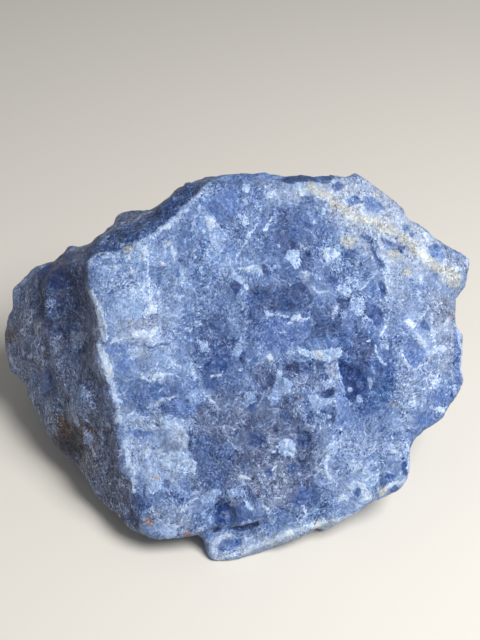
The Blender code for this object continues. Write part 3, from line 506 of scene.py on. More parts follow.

# %% [markdown]
# ### Dark grains, cracks and painted shade
#
# Pits, creases and the feet of steps are painted dark with the shade they hold, and some grains are nearly
# black.

# %% Dark patches and painted shade
DARK_PATCHES_AND_SHADE = (
    (0.22, [(6.4, 18.3), (8.2, 18.4), (8.6, 16.2), (8.8, 14.2),
            (10.2, 12.9), (9.4, 12.4), (7.9, 11.4), (6.5, 13.0), (6.2, 15.5)]),
    (0.30, [(10.9, 12.2), (12.6, 11.8), (12.9, 9.0), (11.4, 8.5)]),
    (0.16, [(3.3, 9.8), (4.5, 9.8), (4.7, 8.8), (5.5, 8.0), (4.3, 7.8)]),
    (0.14, [(-1.8, 6.4), (-0.8, 6.9), (0.3, 6.2), (-0.1, 5.1), (-0.6, 4.5), (-1.6, 5.6)]),
    (0.22, [(1.0, 4.6), (4.8, 5.0), (6.5, 4.6), (10.4, 6.7), (11.7, 5.6),
            (12.5, 4.0), (12.0, 2.4), (8.5, 1.4), (5.0, 2.2), (2.0, 2.2)]),
    (0.28, [(-7.4, -0.5), (-5.0, 0.8), (-2.7, 1.0), (-2.2, -1.0), (-1.0, -2.6),
            (-0.9, -4.2), (-1.7, -4.7), (-2.6, -4.4), (-4.6, -2.0)]),
    (0.22, [(-0.3, -5.8), (0.6, -5.2), (1.2, -7.5), (0.4, -8.1)]),
    # the round pit, the long pit and the foot slit are painted near black with the shade they hold
    (0.05, ROUND_PIT),
    (0.15, [(13.0, -7.4), (14.4, -7.3), (14.8, -8.8), (13.6, -8.6)]),
    (0.10, [(14.0, -9.4), (15.2, -9.3), (15.5, -10.4), (14.4, -10.9)]),
    (0.18, [(4.6, -8.6), (5.4, -9.4), (6.4, -10.6), (6.2, -11.7), (5.0, -11.4), (4.4, -10.0)]),
    (0.10, LONG_PIT),
    (0.24, [(20.0, -2.2), (22.0, -2.6), (23.2, -4.6), (22.4, -8.0),
            (21.8, -10.4), (19.8, -9.4), (19.4, -6.0), (19.7, -4.0)]),
    (0.14, [(16.8, 3.7), (19.0, 3.6), (18.8, 1.5), (17.2, 2.3)]),
    (0.26, [(15.0, -16.6), (16.0, -15.7), (16.9, -17.0), (16.2, -18.3)]),
    (0.16, [(10.2, -18.6), (12.0, -19.3), (12.5, -20.8), (11.6, -22.3), (10.2, -22.0), (9.8, -20.5)]),
    (0.22, [(6.9, -15.9), (8.4, -15.7), (9.0, -17.2), (8.0, -17.9), (7.0, -17.2)]),
    (0.18, [(10.3, -24.4), (11.6, -24.2), (12.2, -26.2), (10.9, -26.9)]),
    (0.22, [(1.2, -19.8), (3.4, -19.2), (4.6, -20.6), (3.6, -22.2), (1.6, -21.8)]),
    (0.26, [(-18.9, -13.6), (-17.7, -13.2), (-16.7, -16.0), (-18.3, -15.2)]),
    (0.34, [(-8.8, -19.8), (-4.0, -20.4), (-1.0, -22.0), (-1.4, -26.0),
            (-3.0, -29.4), (-6.4, -29.4), (-7.6, -26.8), (-8.2, -23.0)]),
    (0.24, [(-19.8, -29.2), (-17.4, -30.0), (-16.0, -31.8),
            (-16.6, -33.0), (-17.4, -34.8), (-19.0, -32.0)]),
    (0.30, [(-13.2, -27.4), (-12.0, -27.8), (-12.2, -29.4), (-13.3, -28.8)]),
    (0.34, [(24.3, 14.6), (28.8, 12.9), (28.6, 11.4), (25.5, 12.7)]),
    (0.46, [(-16.0, 9.5), (-13.6, 9.0), (-14.0, 6.0), (-15.7, 6.4)]),
    (0.22, [(6.6, 24.6), (9.0, 23.8), (11.6, 24.3), (15.6, 24.0), (17.0, 25.6), (15.0, 26.4), (8.0, 25.4)]),
    (0.06, FOOT_SLIT),
    # the near-black crescent is the painted shadow in the upper left of the foot hollow
    (0.00, [(-4.6, -32.8), (-4.2, -31.6), (-3.0, -30.9), (-2.6, -31.4), (-3.4, -32.2), (-4.0, -33.2)]),
    (0.44, [(-24.2, 10.6), (-22.4, 10.9), (-20.4, 10.6), (-19.4, 9.9), (-21.4, 9.6), (-24.0, 9.7)]),
    (0.28, [(-4.6, 17.6), (-3.8, 17.8), (-2.8, 15.9), (-3.0, 15.4)]),
    (0.32, [(10.6, 21.6), (12.8, 21.8), (13.0, 20.6), (11.4, 20.2)]),
    (0.40, [(14.2, 21.2), (15.0, 21.2), (15.2, 20.5), (14.4, 20.3)]),
    (0.18, [(7.6, 13.2), (8.3, 13.0), (7.9, 11.5), (7.3, 11.6)]),
    (0.30, [(18.0, 12.6), (20.2, 12.4), (20.4, 10.4), (18.4, 10.2)]),
    (0.34, [(26.5, 15.0), (27.1, 15.0), (27.2, 14.5), (26.6, 14.4)]),
    (0.20, [(-2.3, -2.4), (-1.2, -2.6), (-0.7, -3.8), (-1.2, -4.6), (-2.0, -4.0), (-2.4, -3.2)]),
    (0.22, [(12.4, -1.4), (14.0, -0.4), (15.6, 0.2), (17.4, -0.6), (17.8, -2.2),
            (16.8, -2.8), (15.0, -1.8), (13.4, -2.6), (12.2, -3.2)]),
    (0.20, [(19.9, -0.2), (20.3, -0.3), (20.6, -2.6), (20.0, -3.0)]),
    (0.12, [(18.2, -12.4), (19.8, -12.0), (20.2, -13.4), (19.4, -14.4), (18.8, -13.6)]),
    (0.12, [(9.7, -18.6), (10.5, -18.2), (10.7, -19.0), (9.9, -19.3)]),
    (0.14, [(11.4, -19.3), (12.2, -19.2), (12.2, -20.6), (11.2, -20.6)]),
    (0.20, [(5.9, -18.1), (6.4, -18.2), (6.5, -19.6), (5.9, -19.7)]),
    (0.26, [(1.3, -30.0), (2.4, -29.8), (2.8, -31.0), (1.8, -31.6), (1.2, -31.0)]),
    (0.12, [(7.1, -32.5), (7.8, -32.4), (7.8, -33.1), (7.2, -33.2)]),
    (0.30, [(-17.0, -31.4), (-15.6, -30.8), (-14.6, -31.6), (-15.4, -32.4), (-16.8, -32.4)]),
    (0.08, [(-19.0, -33.0), (-18.2, -32.6), (-17.4, -35.0), (-18.0, -36.0)]),
    (0.08, [(-34.6, -12.2), (-33.8, -12.0), (-33.6, -12.9), (-34.4, -13.0)]),
    (0.02, [(-21.6, 15.6), (-20.2, 15.9), (-19.9, 14.9), (-21.2, 14.8)]),
    (0.06, [(-15.3, 19.8), (-14.2, 20.0), (-14.0, 18.5), (-14.9, 18.3)]),
    (0.03, [(-31.8, -1.1), (-31.0, -0.8), (-30.9, -2.0), (-31.6, -2.2)]),
    (0.03, [(-30.1, -13.0), (-29.1, -13.1), (-29.3, -14.1), (-30.0, -14.0)]),
    (0.10, [(-32.0, -20.0), (-28.0, -19.0), (-26.0, -21.0), (-28.5, -25.0), (-31.5, -23.0)]),
)

# %% Dark lines and painted shade in creases
# tone, width in mm, then the points of a line
DARK_LINES_AND_SHADE = (
    # streaks on the weathered side and along the crown
    (0.10, 0.30, [(-29.8, -11.6), (-28.0, -10.4), (-26.8, -11.0), (-25.8, -13.0)]),
    (0.03, 0.50, [(-26.9, -18.0), (-26.3, -19.4)]),
    # creases and gaps, painted dark with their shade, and hairline cracks
    (0.22, 0.35, [(4.2, -29.0), (5.2, -31.0)]),
    (0.28, 0.40, [(30.6, -17.8), (32.4, -15.6)]),
    (0.30, 0.25, [(26.4, -19.8), (28.4, -19.6)]),
    (0.30, 0.25, [(25.6, -23.2), (27.0, -23.4)]),
    (0.30, 0.35, [(-5.2, -32.6), (-6.0, -34.6)]),
    (0.40, 0.25, [(-11.0, -13.7), (-8.6, -14.4), (-7.0, -14.9)]),
    (0.20, 1.0, [(10.6, -4.3), (11.4, -3.8), (12.6, -2.8), (13.2, -1.6), (13.1, -0.5)]),
    (0.20, 1.3, [(14.3, -1.9), (15.6, -1.7), (17.4, -0.9)]),
    (0.10, 0.35, [(-16.5, -28.9), (-16.4, -30.3)]),
    (0.30, 1.1, [(21.6, 14.8), (23.3, 13.6), (23.8, 11.2), (24.8, 9.0)]),
    (0.15, 0.25, [(-16.6, -4.3), (-15.2, -4.9), (-13.8, -4.2), (-12.0, -4.2)]),
    (0.15, 0.30, [(-6.4, -14.8), (-5.4, -14.6), (-4.4, -15.0)]),
    (0.15, 0.25, [(-15.2, -18.1), (-14.6, -18.2), (-13.8, -18.5)]),
    (0.15, 0.40, [(-9.0, -19.4), (-8.5, -20.6), (-8.9, -22.6)]),
    (0.10, 0.50, [(-5.0, -37.0), (-3.6, -36.2)]),
)
print(len(DARK_PATCHES_AND_SHADE), "dark patches and", len(DARK_LINES_AND_SHADE), "dark lines")

# %% [markdown]
# ### Grey patches
#
# Sodalite grows together with grey feldspar. Where the two are mixed, the blue is weaker.

# %% Grey patches
GREY_PATCHES = (
    (0.34, [(2.4, -24.6), (4.8, -23.6), (7.6, -25.0), (9.7, -27.2), (8.6, -29.6),
            (7.4, -31.8), (5.2, -33.0), (4.0, -31.6), (2.0, -29.8), (1.4, -27.4)]),
    (0.36, [(4.6, -19.0), (6.4, -19.2), (6.4, -22.0), (4.6, -23.0)]),
    (0.66, [(10.6, 8.6), (11.9, 8.3), (12.1, 7.0), (11.2, 6.1), (10.7, 7.2)]),
    (0.50, [(10.2, 13.0), (11.4, 13.5), (12.4, 12.8), (12.0, 12.2), (10.6, 12.2)]),
    (0.52, [(11.6, 6.2), (12.8, 6.0), (13.6, 5.0), (12.4, 4.2), (11.8, 4.8)]),
    (0.52, [(15.0, -8.2), (16.4, -7.6), (17.2, -8.6), (17.2, -10.6), (16.4, -11.2), (15.4, -10.2)]),
    (0.56, [(33.4, -0.8), (34.4, -0.2), (36.2, -0.4),
            (36.4, -2.6), (35.8, -4.0), (34.2, -4.4), (33.6, -2.8)]),
    (0.62, [(-12.6, -19.8), (-9.4, -19.5), (-9.2, -21.2), (-12.4, -21.3)]),
    (0.40, [(-12.3, -21.5), (-9.9, -21.5), (-10.0, -22.4), (-12.0, -22.3)]),
    (0.44, [(-14.7, -33.8), (-13.4, -33.6), (-13.2, -34.6), (-14.2, -35.0)]),
    (0.54, [(6.0, -24.4), (7.6, -24.2), (7.8, -25.2), (6.4, -25.4)]),
    (0.54, [(-19.8, -0.2), (-18.0, -0.1), (-15.7, 1.0), (-13.4, 0.6),
            (-15.3, -1.3), (-16.5, -1.9), (-17.8, -1.8), (-19.6, -2.0)]),
)
print(len(GREY_PATCHES), "grey patches")

# %% [markdown]
# ## Hollows, zones and stains
#
# A few pits are deep enough to press into the shape. The broad zones come next: which parts of
# the break are pale, dark, greyish or busy. Last are the minerals of another colour: the cream
# vein with its spots, small rusty iron stains, and the brown crust of the weathered side.

# %% Hollows
HOLLOWS = (
    # depth in mm, then an outline; a depth below zero fills a dip of the solid
    (-0.5, [(-1.9, -30.6), (0.6, -30.6), (1.6, -32.4), (0.8, -35.2), (-1.4, -35.6), (-1.2, -33.2)]),
    (0.9, FOOT_SLIT),
    (0.5, ROUND_PIT),
    (0.4, LONG_PIT),
    (0.4, [(1.0, 4.6), (4.8, 5.0), (10.4, 6.7), (12.5, 4.0), (8.5, 1.4), (2.0, 2.2)]),
    (0.5, [(17.2, -7.5), (20.3, -8.2), (22.2, -10.6), (22.0, -12.0), (19.6, -14.4), (17.9, -11.2)]),
)
print(len(HOLLOWS), "hollows")

# %% Broad zones
# tone, strength of the blue, liveliness of the grain and softness in mm, then an outline; a later
# zone covers an earlier one
ZONES = (
    # the fresh break: first its paler sides, then its darker middle
    (0.58, 1.00, 0.65, 4.0, [(-26.0, 11.5), (-14.0, 14.0), (-9.0, 8.0),
                             (-9.0, -8.0), (-16.0, -12.0), (-24.0, -8.0)]),
    (0.62, 0.85, 0.55, 3.0, [(-20.0, 4.5), (-15.0, 5.5), (-12.0, -1.0),
                             (-13.0, -6.0), (-18.0, -7.0), (-22.0, -1.0)]),
    (0.54, 1.05, 0.60, 3.0, [(-9.0, 20.0), (-5.0, 20.0), (0.0, 9.0), (-2.0, 7.0), (-6.0, 8.0)]),
    (0.58, 0.80, 0.90, 2.5, [(3.0, 24.5), (16.0, 24.5), (24.0, 24.0),
                             (24.0, 20.0), (14.0, 20.5), (5.0, 20.5)]),
    (0.62, 0.60, 1.10, 4.5, [(14.0, 25.0), (24.0, 25.0), (35.0, 13.5), (40.0, 10.0),
                             (36.0, 5.0), (28.0, 7.0), (22.0, 12.0), (15.0, 19.0)]),
    (0.54, 0.88, 0.45, 4.0, [(24.0, 10.0), (36.0, 8.0), (39.0, 0.0), (37.0, -8.0),
                             (31.0, -16.0), (27.0, -19.0), (27.0, -8.0), (30.0, 0.0), (25.0, 2.0)]),
    (0.46, 0.66, 0.60, 2.5, [(33.4, 5.0), (38.0, 4.0), (39.6, -11.0), (36.0, -9.5), (34.2, -3.0)]),
    (0.63, 0.90, 0.80, 3.0, [(-21.0, -16.0), (-11.0, -15.5), (-8.0, -19.0),
                             (-7.0, -27.0), (-12.0, -29.0), (-15.0, -29.0), (-19.5, -26.0)]),
    (0.54, 0.85, 0.90, 2.5, [(-16.5, -31.5), (-8.0, -32.0), (-8.0, -37.0), (-13.0, -39.0)]),
    (0.56, 0.95, 0.70, 3.5, [(14.0, -19.0), (28.0, -20.0), (30.0, -29.0), (20.0, -34.0), (15.0, -28.0)]),
    (0.56, 0.80, 0.60, 1.5, [(-6.0, -38.0), (2.0, -37.5), (17.0, -33.5),
                             (17.0, -36.0), (0.0, -42.0), (-5.0, -42.0)]),
    (0.36, 1.00, 0.90, 3.0, [(2.0, 16.0), (6.0, 20.0), (13.0, 18.0),
                             (14.0, 10.0), (12.0, 5.0), (5.0, 8.0)]),
    (0.27, 1.00, 1.00, 3.0, [(1.0, 6.0), (8.0, 7.0), (14.0, 3.0), (18.0, 0.0),
                             (18.0, -4.0), (4.0, -4.0), (1.0, 0.0)]),
    (0.31, 1.00, 0.80, 3.0, [(-8.0, 0.0), (-3.0, 1.0), (0.0, -6.0),
                             (0.0, -18.0), (-4.0, -17.0), (-7.0, -8.0)]),
    (0.32, 0.85, 1.00, 3.0, [(2.0, -8.0), (14.0, -7.0), (16.0, -12.0), (4.0, -13.0)]),
    (0.26, 1.10, 0.80, 3.0, [(17.0, -2.0), (23.0, -2.0), (27.0, -9.0),
                             (26.0, -16.0), (20.0, -15.0), (17.0, -10.0)]),
    (0.30, 0.80, 1.10, 4.0, [(-8.0, -13.0), (3.0, -13.0), (9.0, -14.0),
                             (14.0, -20.0), (12.0, -33.0), (0.0, -31.0), (-8.0, -31.0)]),
    # the weathered side: dark above, slate in the middle, brown below, navy along the crown
    (0.17, 0.85, 1.50, 3.0, [(-36.0, 9.0), (-30.0, 12.0), (-27.0, 8.0),
                             (-28.0, -2.0), (-33.0, -3.0), (-36.0, 3.0)]),
    (0.28, 0.75, 1.50, 4.0, [(-38.0, -4.0), (-27.0, -4.0), (-25.0, -12.0), (-28.0, -17.0), (-34.0, -14.0)]),
    (0.24, 0.75, 1.50, 3.0, [(-27.0, -12.0), (-22.5, -12.0),
                             (-20.5, -24.0), (-20.0, -30.0), (-25.0, -27.0)]),
    (0.14, 0.38, 1.60, 2.5, [(-33.0, -15.5), (-27.0, -16.5),
                             (-24.5, -20.0), (-25.0, -27.5), (-31.0, -24.0)]),
    (0.20, 0.70, 1.50, 2.5, [(-26.0, -27.0), (-20.0, -27.0), (-17.0, -37.0), (-21.0, -35.0)]),
    (0.23, 1.05, 1.60, 1.0, [(-28.0, 10.5), (-25.0, 14.5), (-16.0, 18.5), (-9.0, 24.0), (-5.5, 24.6),
                             (-10.2, 19.4), (-13.6, 16.5), (-17.2, 13.8), (-20.9, 12.4), (-26.6, 10.2)]),
)
print(len(ZONES), "zones")

# %% The fresh break's outline
RIDGE = [
    (-26.6, 10.2), (-26.4, 6.0), (-25.0, 1.0), (-24.8, -4.4), (-23.0, -11.3), (-21.7, -15.7),
    (-21.7, -19.5), (-20.4, -24.8), (-18.5, -29.6), (-17.3, -36.6),
]
CROWN_EDGE = [(-20.9, 12.4), (-17.2, 13.8), (-13.6, 16.5), (-10.2, 19.4), (-5.2, 24.3)]
# to the right the break runs on past the end of the stone
PAST_THE_STONE = [(-3.0, 40.0), (60.0, 40.0), (60.0, -60.0), (-17.3, -60.0)]
FRESH_OUTLINE = RIDGE[::-1] + CROWN_EDGE + PAST_THE_STONE
print("the fresh break has an outline of", len(FRESH_OUTLINE), "points")

# %% The vein and the stains
# the vein's width in mm, and the points that it runs through
VEIN_WIDTH = 1.6
VEIN = [
    (12.3, 23.4), (14.5, 22.2), (16.5, 20.6), (18.5, 19.0), (21.0, 18.0), (23.5, 17.2),
    (26.0, 15.8), (28.0, 14.8), (30.0, 13.2), (32.0, 11.0), (34.5, 9.2), (36.5, 8.6),
]
# radius in mm, then the middle
CREAM_SPOTS = (
    (1.3, (19.0, 13.8)),
    (0.8, (27.0, 11.4)),
    (0.9, (28.9, 8.4)),
    (1.6, (36.8, 7.4)),
    (0.7, (13.3, 23.0)),
    (0.5, (24.0, 22.2)),
    (0.6, (26.8, -14.5)),
    (0.6, (13.3, -35.3)),
    (0.7, (24.7, -29.4)),
    (0.6, (13.3, -6.0)),
    (0.7, (-19.6, 12.6)),
    (0.6, (8.6, -36.6)),
)
IRON_SPOTS = (
    (0.60, (-15.9, -34.8)),
    (0.40, (-14.4, -27.2)),
    (0.60, (-9.3, -36.9)),
    (0.25, (10.1, -13.7)),
    (0.45, (-31.2, -17.4)),
    (0.50, (-30.9, -18.2)),
    (0.40, (-30.5, -19.2)),
    (0.35, (-23.0, -19.3)),
    (0.30, (-26.0, -18.8)),
)
BROWN_SPOTS = (
    (1.2, (-40.3, -2.0)),
    (0.8, (-33.7, -5.8)),
    (0.8, (-31.6, -5.6)),
    (0.2, (-28.6, 7.0)),
    (0.2, (-27.4, 2.5)),
    (2.8, (-29.6, -20.4)),
    (0.6, (-24.4, -19.0)),
    (0.6, (-22.6, -27.0)),
    (0.5, (35.7, 3.2)),
    (0.3, (36.6, 1.0)),
)
print("spots:", len(CREAM_SPOTS), "cream,", len(IRON_SPOTS), "iron and", len(BROWN_SPOTS), "brown")

# %% [markdown]
# ## Reading the map
#
# Two measures read the map: how far a point lies inside an outline, and how far it lies from a
# line. For each kind of mark every corner of the skin keeps a tone and a reach: how many
# millimetres it lies inside the nearest such mark, below zero outside. A material can cut a
# crisp, ragged edge anywhere along a reach, which it couldn't do with a mask of on and off.

# %% Inside an outline, off a line
def off_line(line, across, up):
    """How far each point lies from an open line, in mm."""
    nearest = np.full(len(across), math.inf)
    for (ax, ay), (bx, by) in zip(line, line[1:]):
        dx, dy = bx - ax, by - ay
        share = np.clip(((across - ax) * dx + (up - ay) * dy) / (dx * dx + dy * dy), 0.0, 1.0)
        nearest = np.minimum(nearest, np.hypot(across - ax - share * dx, up - ay - share * dy))
    return nearest


def inside_by(outline, across, up):
    """How far each point lies inside a closed outline, in mm; below zero outside."""
    inside = np.zeros(len(across), bool)
    for (ax, ay), (bx, by) in zip(outline, outline[1:] + outline[:1]):
        if ay != by:
            crossing = ax + (up - ay) * (bx - ax) / (by - ay)
            inside ^= ((ay > up) != (by > up)) & (across < crossing)
    edge = off_line(outline + outline[:1], across, up)
    return np.where(inside, edge, -edge)


pit_middle = np.mean(ROUND_PIT, axis=0)[:, None]
print("the middle of the round pit lies", inside_by(ROUND_PIT, *pit_middle).round(2), "mm inside it")

# %% Smooth steps and smooth noise
# each seed moves the noise this far along x, y and z, in lumps
SEED_STRIDE = (17.3, 5.1, 9.7)


def ramp(values, low, high):
    """A smooth step from 0 at low to 1 at high."""
    share = np.clip((values - low) / (high - low), 0.0, 1.0)
    return share * share * (3.0 - 2.0 * share)


def field(points, size, seed):
    """Smooth noise between about -1 and 1 with lumps of a size in mm."""
    shift = Vector([seed * stride for stride in SEED_STRIDE])
    return np.array([noise.noise(Vector(p) / size + shift) for p in points])


print("a smooth step from 0 to 4 mm, at each mm:", ramp(np.arange(5.0), 0.0, 4.0).round(2))

# %% [markdown]
# ## Laying the marks down
#
# The outlines were sketched as the eye sees them from the camera, and the skin isn't quite flat.
# So each corner is first moved along its line of sight to the break's plane. Drawn edges are
# too straight for a stone, and two noises make them wander. Where the skin turns edge-on to
# the camera a mark would be stretched far round the stone, so marks shrink away there.

# %% Where the camera sees a corner
# the furthest inside or outside a mark that is kept, in mm
REACH = 1.2
# a facing is 1 square on to the camera and 0 edge-on; marks end just past the edge
LAST_SEEN = -0.05
# between these facings a mark shrinks by up to this many mm
EDGE_ON = (0.05, 0.32)
EDGE_ON_FADE = 0.6
# how far an edge wanders and how long its bends are, in mm, then the seeds across and up
WANDERS = (
    (0.25, 0.9, 41.0, 42.0),
    (0.12, 0.45, 43.0, 44.0),
)
# for each kind, its outlines and its lines
MARKS = {
    "grey": (GREY_PATCHES, ()),
    "dark": (DARK_PATCHES_AND_SHADE, DARK_LINES_AND_SHADE),
    "clear": (CLEAR_WINDOWS, ()),
    "pale": (PALE_FLAKES, PALE_STREAKS),
    "bruise": (BRUISES, BRUISED_EDGES),
}


def seen_at(points):
    """Where points show on the break's plane, to an eye at the camera, in mm."""
    uvw = on_the_break(points)
    nearer = CAMERA_DISTANCE / (CAMERA_DISTANCE - uvw[:, 2])
    return uvw[:, 0] * nearer, uvw[:, 1] * nearer


def in_reach(drawn, across, up, facing):
    """The numbers of the points in the box round a drawn mark, where the camera sees them."""
    xs, ys = zip(*drawn)
    beside = (across > min(xs) - REACH) & (across < max(xs) + REACH)
    level = (up > min(ys) - REACH) & (up < max(ys) + REACH)
    return np.flatnonzero(beside & level & (facing > LAST_SEEN))


def map_marks(points, facing):
    """The reach and the tone of every kind of mark, at some points of the skin."""
    across, up = seen_at(points)
    for wander, bend, seed_across, seed_up in WANDERS:
        across = across + wander * field(points, bend, seed_across)
        up = up + wander * field(points, bend, seed_up)
    fade = EDGE_ON_FADE * (1.0 - ramp(facing, *EDGE_ON))
    layers = {}
    for kind, (outlines, lines) in MARKS.items():
        reaches = layers[kind + "_reach"] = np.full(len(points), -REACH)
        tones = layers[kind + "_tone"] = np.full(len(points), 0.5)
        for tone, *width, drawn in (*outlines, *lines):
            near = in_reach(drawn, across, up, facing)
            if width:
                reach = width[0] / 2 - off_line(drawn, across[near], up[near])
            else:
                reach = inside_by(drawn, across[near], up[near])
            reach -= fade[near]
            further = reach > reaches[near]
            reaches[near[further]] = np.minimum(reach[further], REACH)
            tones[near[further]] = tone
    return layers


# %% [markdown]
# ### Small faces under thin marks
#
# A face of the skin is 0.42 mm wide, and many a bruised edge is thinner than that. To halve
# every face would cost four times the triangles, so only the faces along the sides of bruises
# are divided.

# %% Divide the faces under the thinnest marks
# how far, in mm, a face may lie from the side of a bruise, and how far it must face the camera
FINE_EDGE = 0.25
FRONT_LIMIT = 0.12


def divide(piece, chosen):
    """Divides the chosen faces of a mesh once, each into four."""
    choose_only(piece)
    bpy.ops.object.mode_set(mode="EDIT")
    bpy.ops.mesh.select_mode(type="FACE")
    bpy.ops.mesh.select_all(action="DESELECT")
    bpy.ops.object.mode_set(mode="OBJECT")
    piece.data.polygons.foreach_set("select", chosen)
    bpy.ops.object.mode_set(mode="EDIT")
    bpy.ops.mesh.subdivide(number_cuts=1, smoothness=0.0)
    bpy.ops.object.mode_set(mode="OBJECT")


middles = numbers(stone.data.polygons, "center") / MM
facing = numbers(stone.data.polygons, "normal") @ TO_CAMERA
fine = np.abs(map_marks(middles, facing)["bruise_reach"]) < FINE_EDGE
divide(stone, fine & (facing > FRONT_LIMIT))
stone.data.calc_loop_triangles()
print("after dividing the marks:", len(stone.data.loop_triangles), "triangles")

# %% Read the map at every corner
places = numbers(stone.data.vertices, "co") / MM
normals = numbers(stone.data.vertex_normals, "vector")
facing = normals @ TO_CAMERA
layers = map_marks(places, facing)
across, up = seen_at(places)
for kind in MARKS:
    print(int((layers[kind + "_reach"] > 0.0).sum()), "corners inside", kind, "marks")

# %% [markdown]
# ## The fresh break and the weathered skin
#
# Each corner now gets three more numbers: a base tone, the strength of its blue and how lively
# its grain is. They start from two plain states, fresh and weathered, and the zones are laid
# over them one by one with soft, ragged edges.

# %% Fresh or weathered
# tone, strength of the blue and liveliness, first of the fresh break and then of the skin
FRESH_TONE, FRESH_BLUE, FRESH_LIVELY = 0.46, 1.0, 1.0
SKIN_TONE, SKIN_BLUE, SKIN_LIVELY = 0.30, 0.65, 1.3
# the facings between which the camera's side gives way to the far side
FRONT = (-0.25, 0.15)
# how far the edges of zones and stains wander and how long their bends are, in mm, then the
# seeds across and up
RAGGED = 0.5
RAGGED_BEND = 1.5
RAGGED_SEEDS = (11.0, 12.0)
# half the width of the change from fresh to weathered, in mm
FRESH_EDGE = 0.25

front = ramp(facing, *FRONT)
ragged_across = across + RAGGED * field(places, RAGGED_BEND, RAGGED_SEEDS[0])
ragged_up = up + RAGGED * field(places, RAGGED_BEND, RAGGED_SEEDS[1])
fresh = ramp(inside_by(FRESH_OUTLINE, ragged_across, ragged_up), -FRESH_EDGE, FRESH_EDGE) * front
base = SKIN_TONE + (FRESH_TONE - SKIN_TONE) * fresh
blue = SKIN_BLUE + (FRESH_BLUE - SKIN_BLUE) * fresh
lively = SKIN_LIVELY + (FRESH_LIVELY - SKIN_LIVELY) * fresh
print("fresh corners:", int((fresh > 0.5).sum()), "of", len(places))

# %% Paint the broad zones
# the stone close round a bruise is crushed too, and paler by this much
HALO = 0.10
# half the width of the change of blue at a mark's edge, in mm, and how much of that change the
# weathered skin takes on
MARK_EDGE = 0.3
SKIN_TAKES = 0.4
# how strong the blue is inside a kind of mark, how far it stands out, in mm, and how far its
# tone is pushed away from the tones around it
BLUE_AND_LIFT = {
    "grey": (0.72, 0.0, 0.0),
    "dark": (0.98, -0.10, -0.03),
    "clear": (1.08, -0.10, -0.03),
    "pale": (1.00, 0.12, 0.05),
    "bruise": (0.95, 0.08, 0.06),
}

for tone, strength, liveliness, softness, outline in ZONES:
    cover = ramp(inside_by(outline, ragged_across, ragged_up), -softness / 2, softness / 2) * front
    base += cover * (tone - base)
    blue += cover * (strength - blue)
    lively += cover * (liveliness - lively)
base += HALO * ramp(layers["bruise_reach"], -REACH, 0.0) * fresh
for kind, (strength, _, push) in BLUE_AND_LIFT.items():
    cover = ramp(layers[kind + "_reach"], -MARK_EDGE, MARK_EDGE)
    blue += cover * (strength - blue) * (SKIN_TAKES + (1.0 - SKIN_TAKES) * fresh)
    layers[kind + "_tone"] += push
print("tones from", base.min().round(2), "to", base.max().round(2))

# %% Lay the stains down
# the furthest inside or outside a stain that is kept, in mm
STAIN_REACH = 5.0
# how far below a full cover the brown crust of the weathered skin lies, in mm of its reach
SKIN_BROWN = 0.8


def spots(rows):
    """How far each corner lies inside the nearest of some round spots, in mm."""
    reach = np.full(len(places), -STAIN_REACH)
    for radius, (x, y) in rows:
        reach = np.maximum(reach, radius - np.hypot(ragged_across - x, ragged_up - y))
    return np.where(facing > LAST_SEEN, reach, -STAIN_REACH)


vein = VEIN_WIDTH / 2 - off_line(VEIN, ragged_across, ragged_up)
vein = np.where(facing > LAST_SEEN, vein, -STAIN_REACH)
# the weaker the blue of the skin, the more of it is brown crust
weathered = np.clip((1.0 - blue) / (1.0 - SKIN_BLUE), 0.0, 1.0) * (1.0 - fresh)
crust = (STAIN_REACH - SKIN_BROWN) * weathered - STAIN_REACH
stains = {
    "cream_reach": np.maximum(vein, spots(CREAM_SPOTS)),
    "iron_reach": spots(IRON_SPOTS),
    "brown_reach": np.maximum(spots(BROWN_SPOTS), crust),
}
for name, reach in stains.items():
    layers[name] = np.clip(reach, -STAIN_REACH, STAIN_REACH)
    print(int((reach > 0.0).sum()), "corners inside", name)
layers |= {"base": base, "blue": blue, "lively": lively, "skin": 1.0 - fresh}

# %% [markdown]
# ## Relief: facets and steps
#
# Sodalite has no smooth break. It parts along small planes that meet in sharp creases, and along
# cleavage steps, where one sheet of crystal ends and the next begins. Both come from one kind of
# noise. Space is cut into tetrahedra, each of their corners gets a number by chance, and the
# number runs straight from corner to corner, so that a surface cut through it shows flat
# facets. Three sizes are added up. Two more are cut into steps: each rises like a slope and
# drops back at every step, as the tiles of a roof do.

# %% Noise in flat facets
# a turn that sets the grid of the noise askew to the break, and each seed's move through it
TURN = np.array(((0.36, 0.48, -0.80), (-0.80, 0.60, 0.00), (0.48, 0.64, 0.60)))
FACET_STRIDE = np.array((13.7, 7.3, 3.1))
# large odd numbers and shifts that mix the bits of a cell's place, cut to 32 bits
SPREAD = np.array((73856093, 19349663, 83492791))
STIR = 668265263
SHIFTS = (13, 7, 17)
ALL_BITS = 0xFFFFFFFF


def chance(cells):
    """A number between -1 and 1 for each cell of a grid, always the same one."""
    mixed = cells @ SPREAD
    for shift in SHIFTS:
        mixed = (mixed ^ (mixed >> shift)) * STIR & ALL_BITS
    return mixed / (ALL_BITS // 2) - 1.0


def facets(points, size, seed):
    """Noise between -1 and 1 in flat facets that meet in creases, for a size in mm."""
    turned = points @ TURN.T / size + FACET_STRIDE * seed
    cell = np.floor(turned).astype(np.int64)
    part = turned - cell
    order = np.argsort(-part, axis=1)
    rows = np.arange(len(points))
    before = chance(cell)
    total = before.copy()
    for turn in range(3):
        axis = order[:, turn]
        cell[rows, axis] += 1
        after = chance(cell)
        total += part[rows, axis] * (after - before)
        before = after
    return total


# %% Facets and steps
# each kind of relief has seeds of its own, counted up from these
FACET_SEED, STEP_SEED, FURROW_SEED, WARP_SEED = 1.0, 11.0, 21.0, 3.0
FACETS = (
    # size and height in mm
    (6.5, 0.28),
    (2.7, 0.17),
    (1.2, 0.09),
)
STEPS = (
    # size of the slope, its whole height and the rise of one step, in mm
    (9.0, 0.55, 0.16),
    (4.0, 0.22, 0.09),
)
# the share of a step that its drop takes up
RISER = 0.14
# how far the whole noise is bent and how long its bends are, in mm
WARP = 0.9
WARP_BEND = 3.0

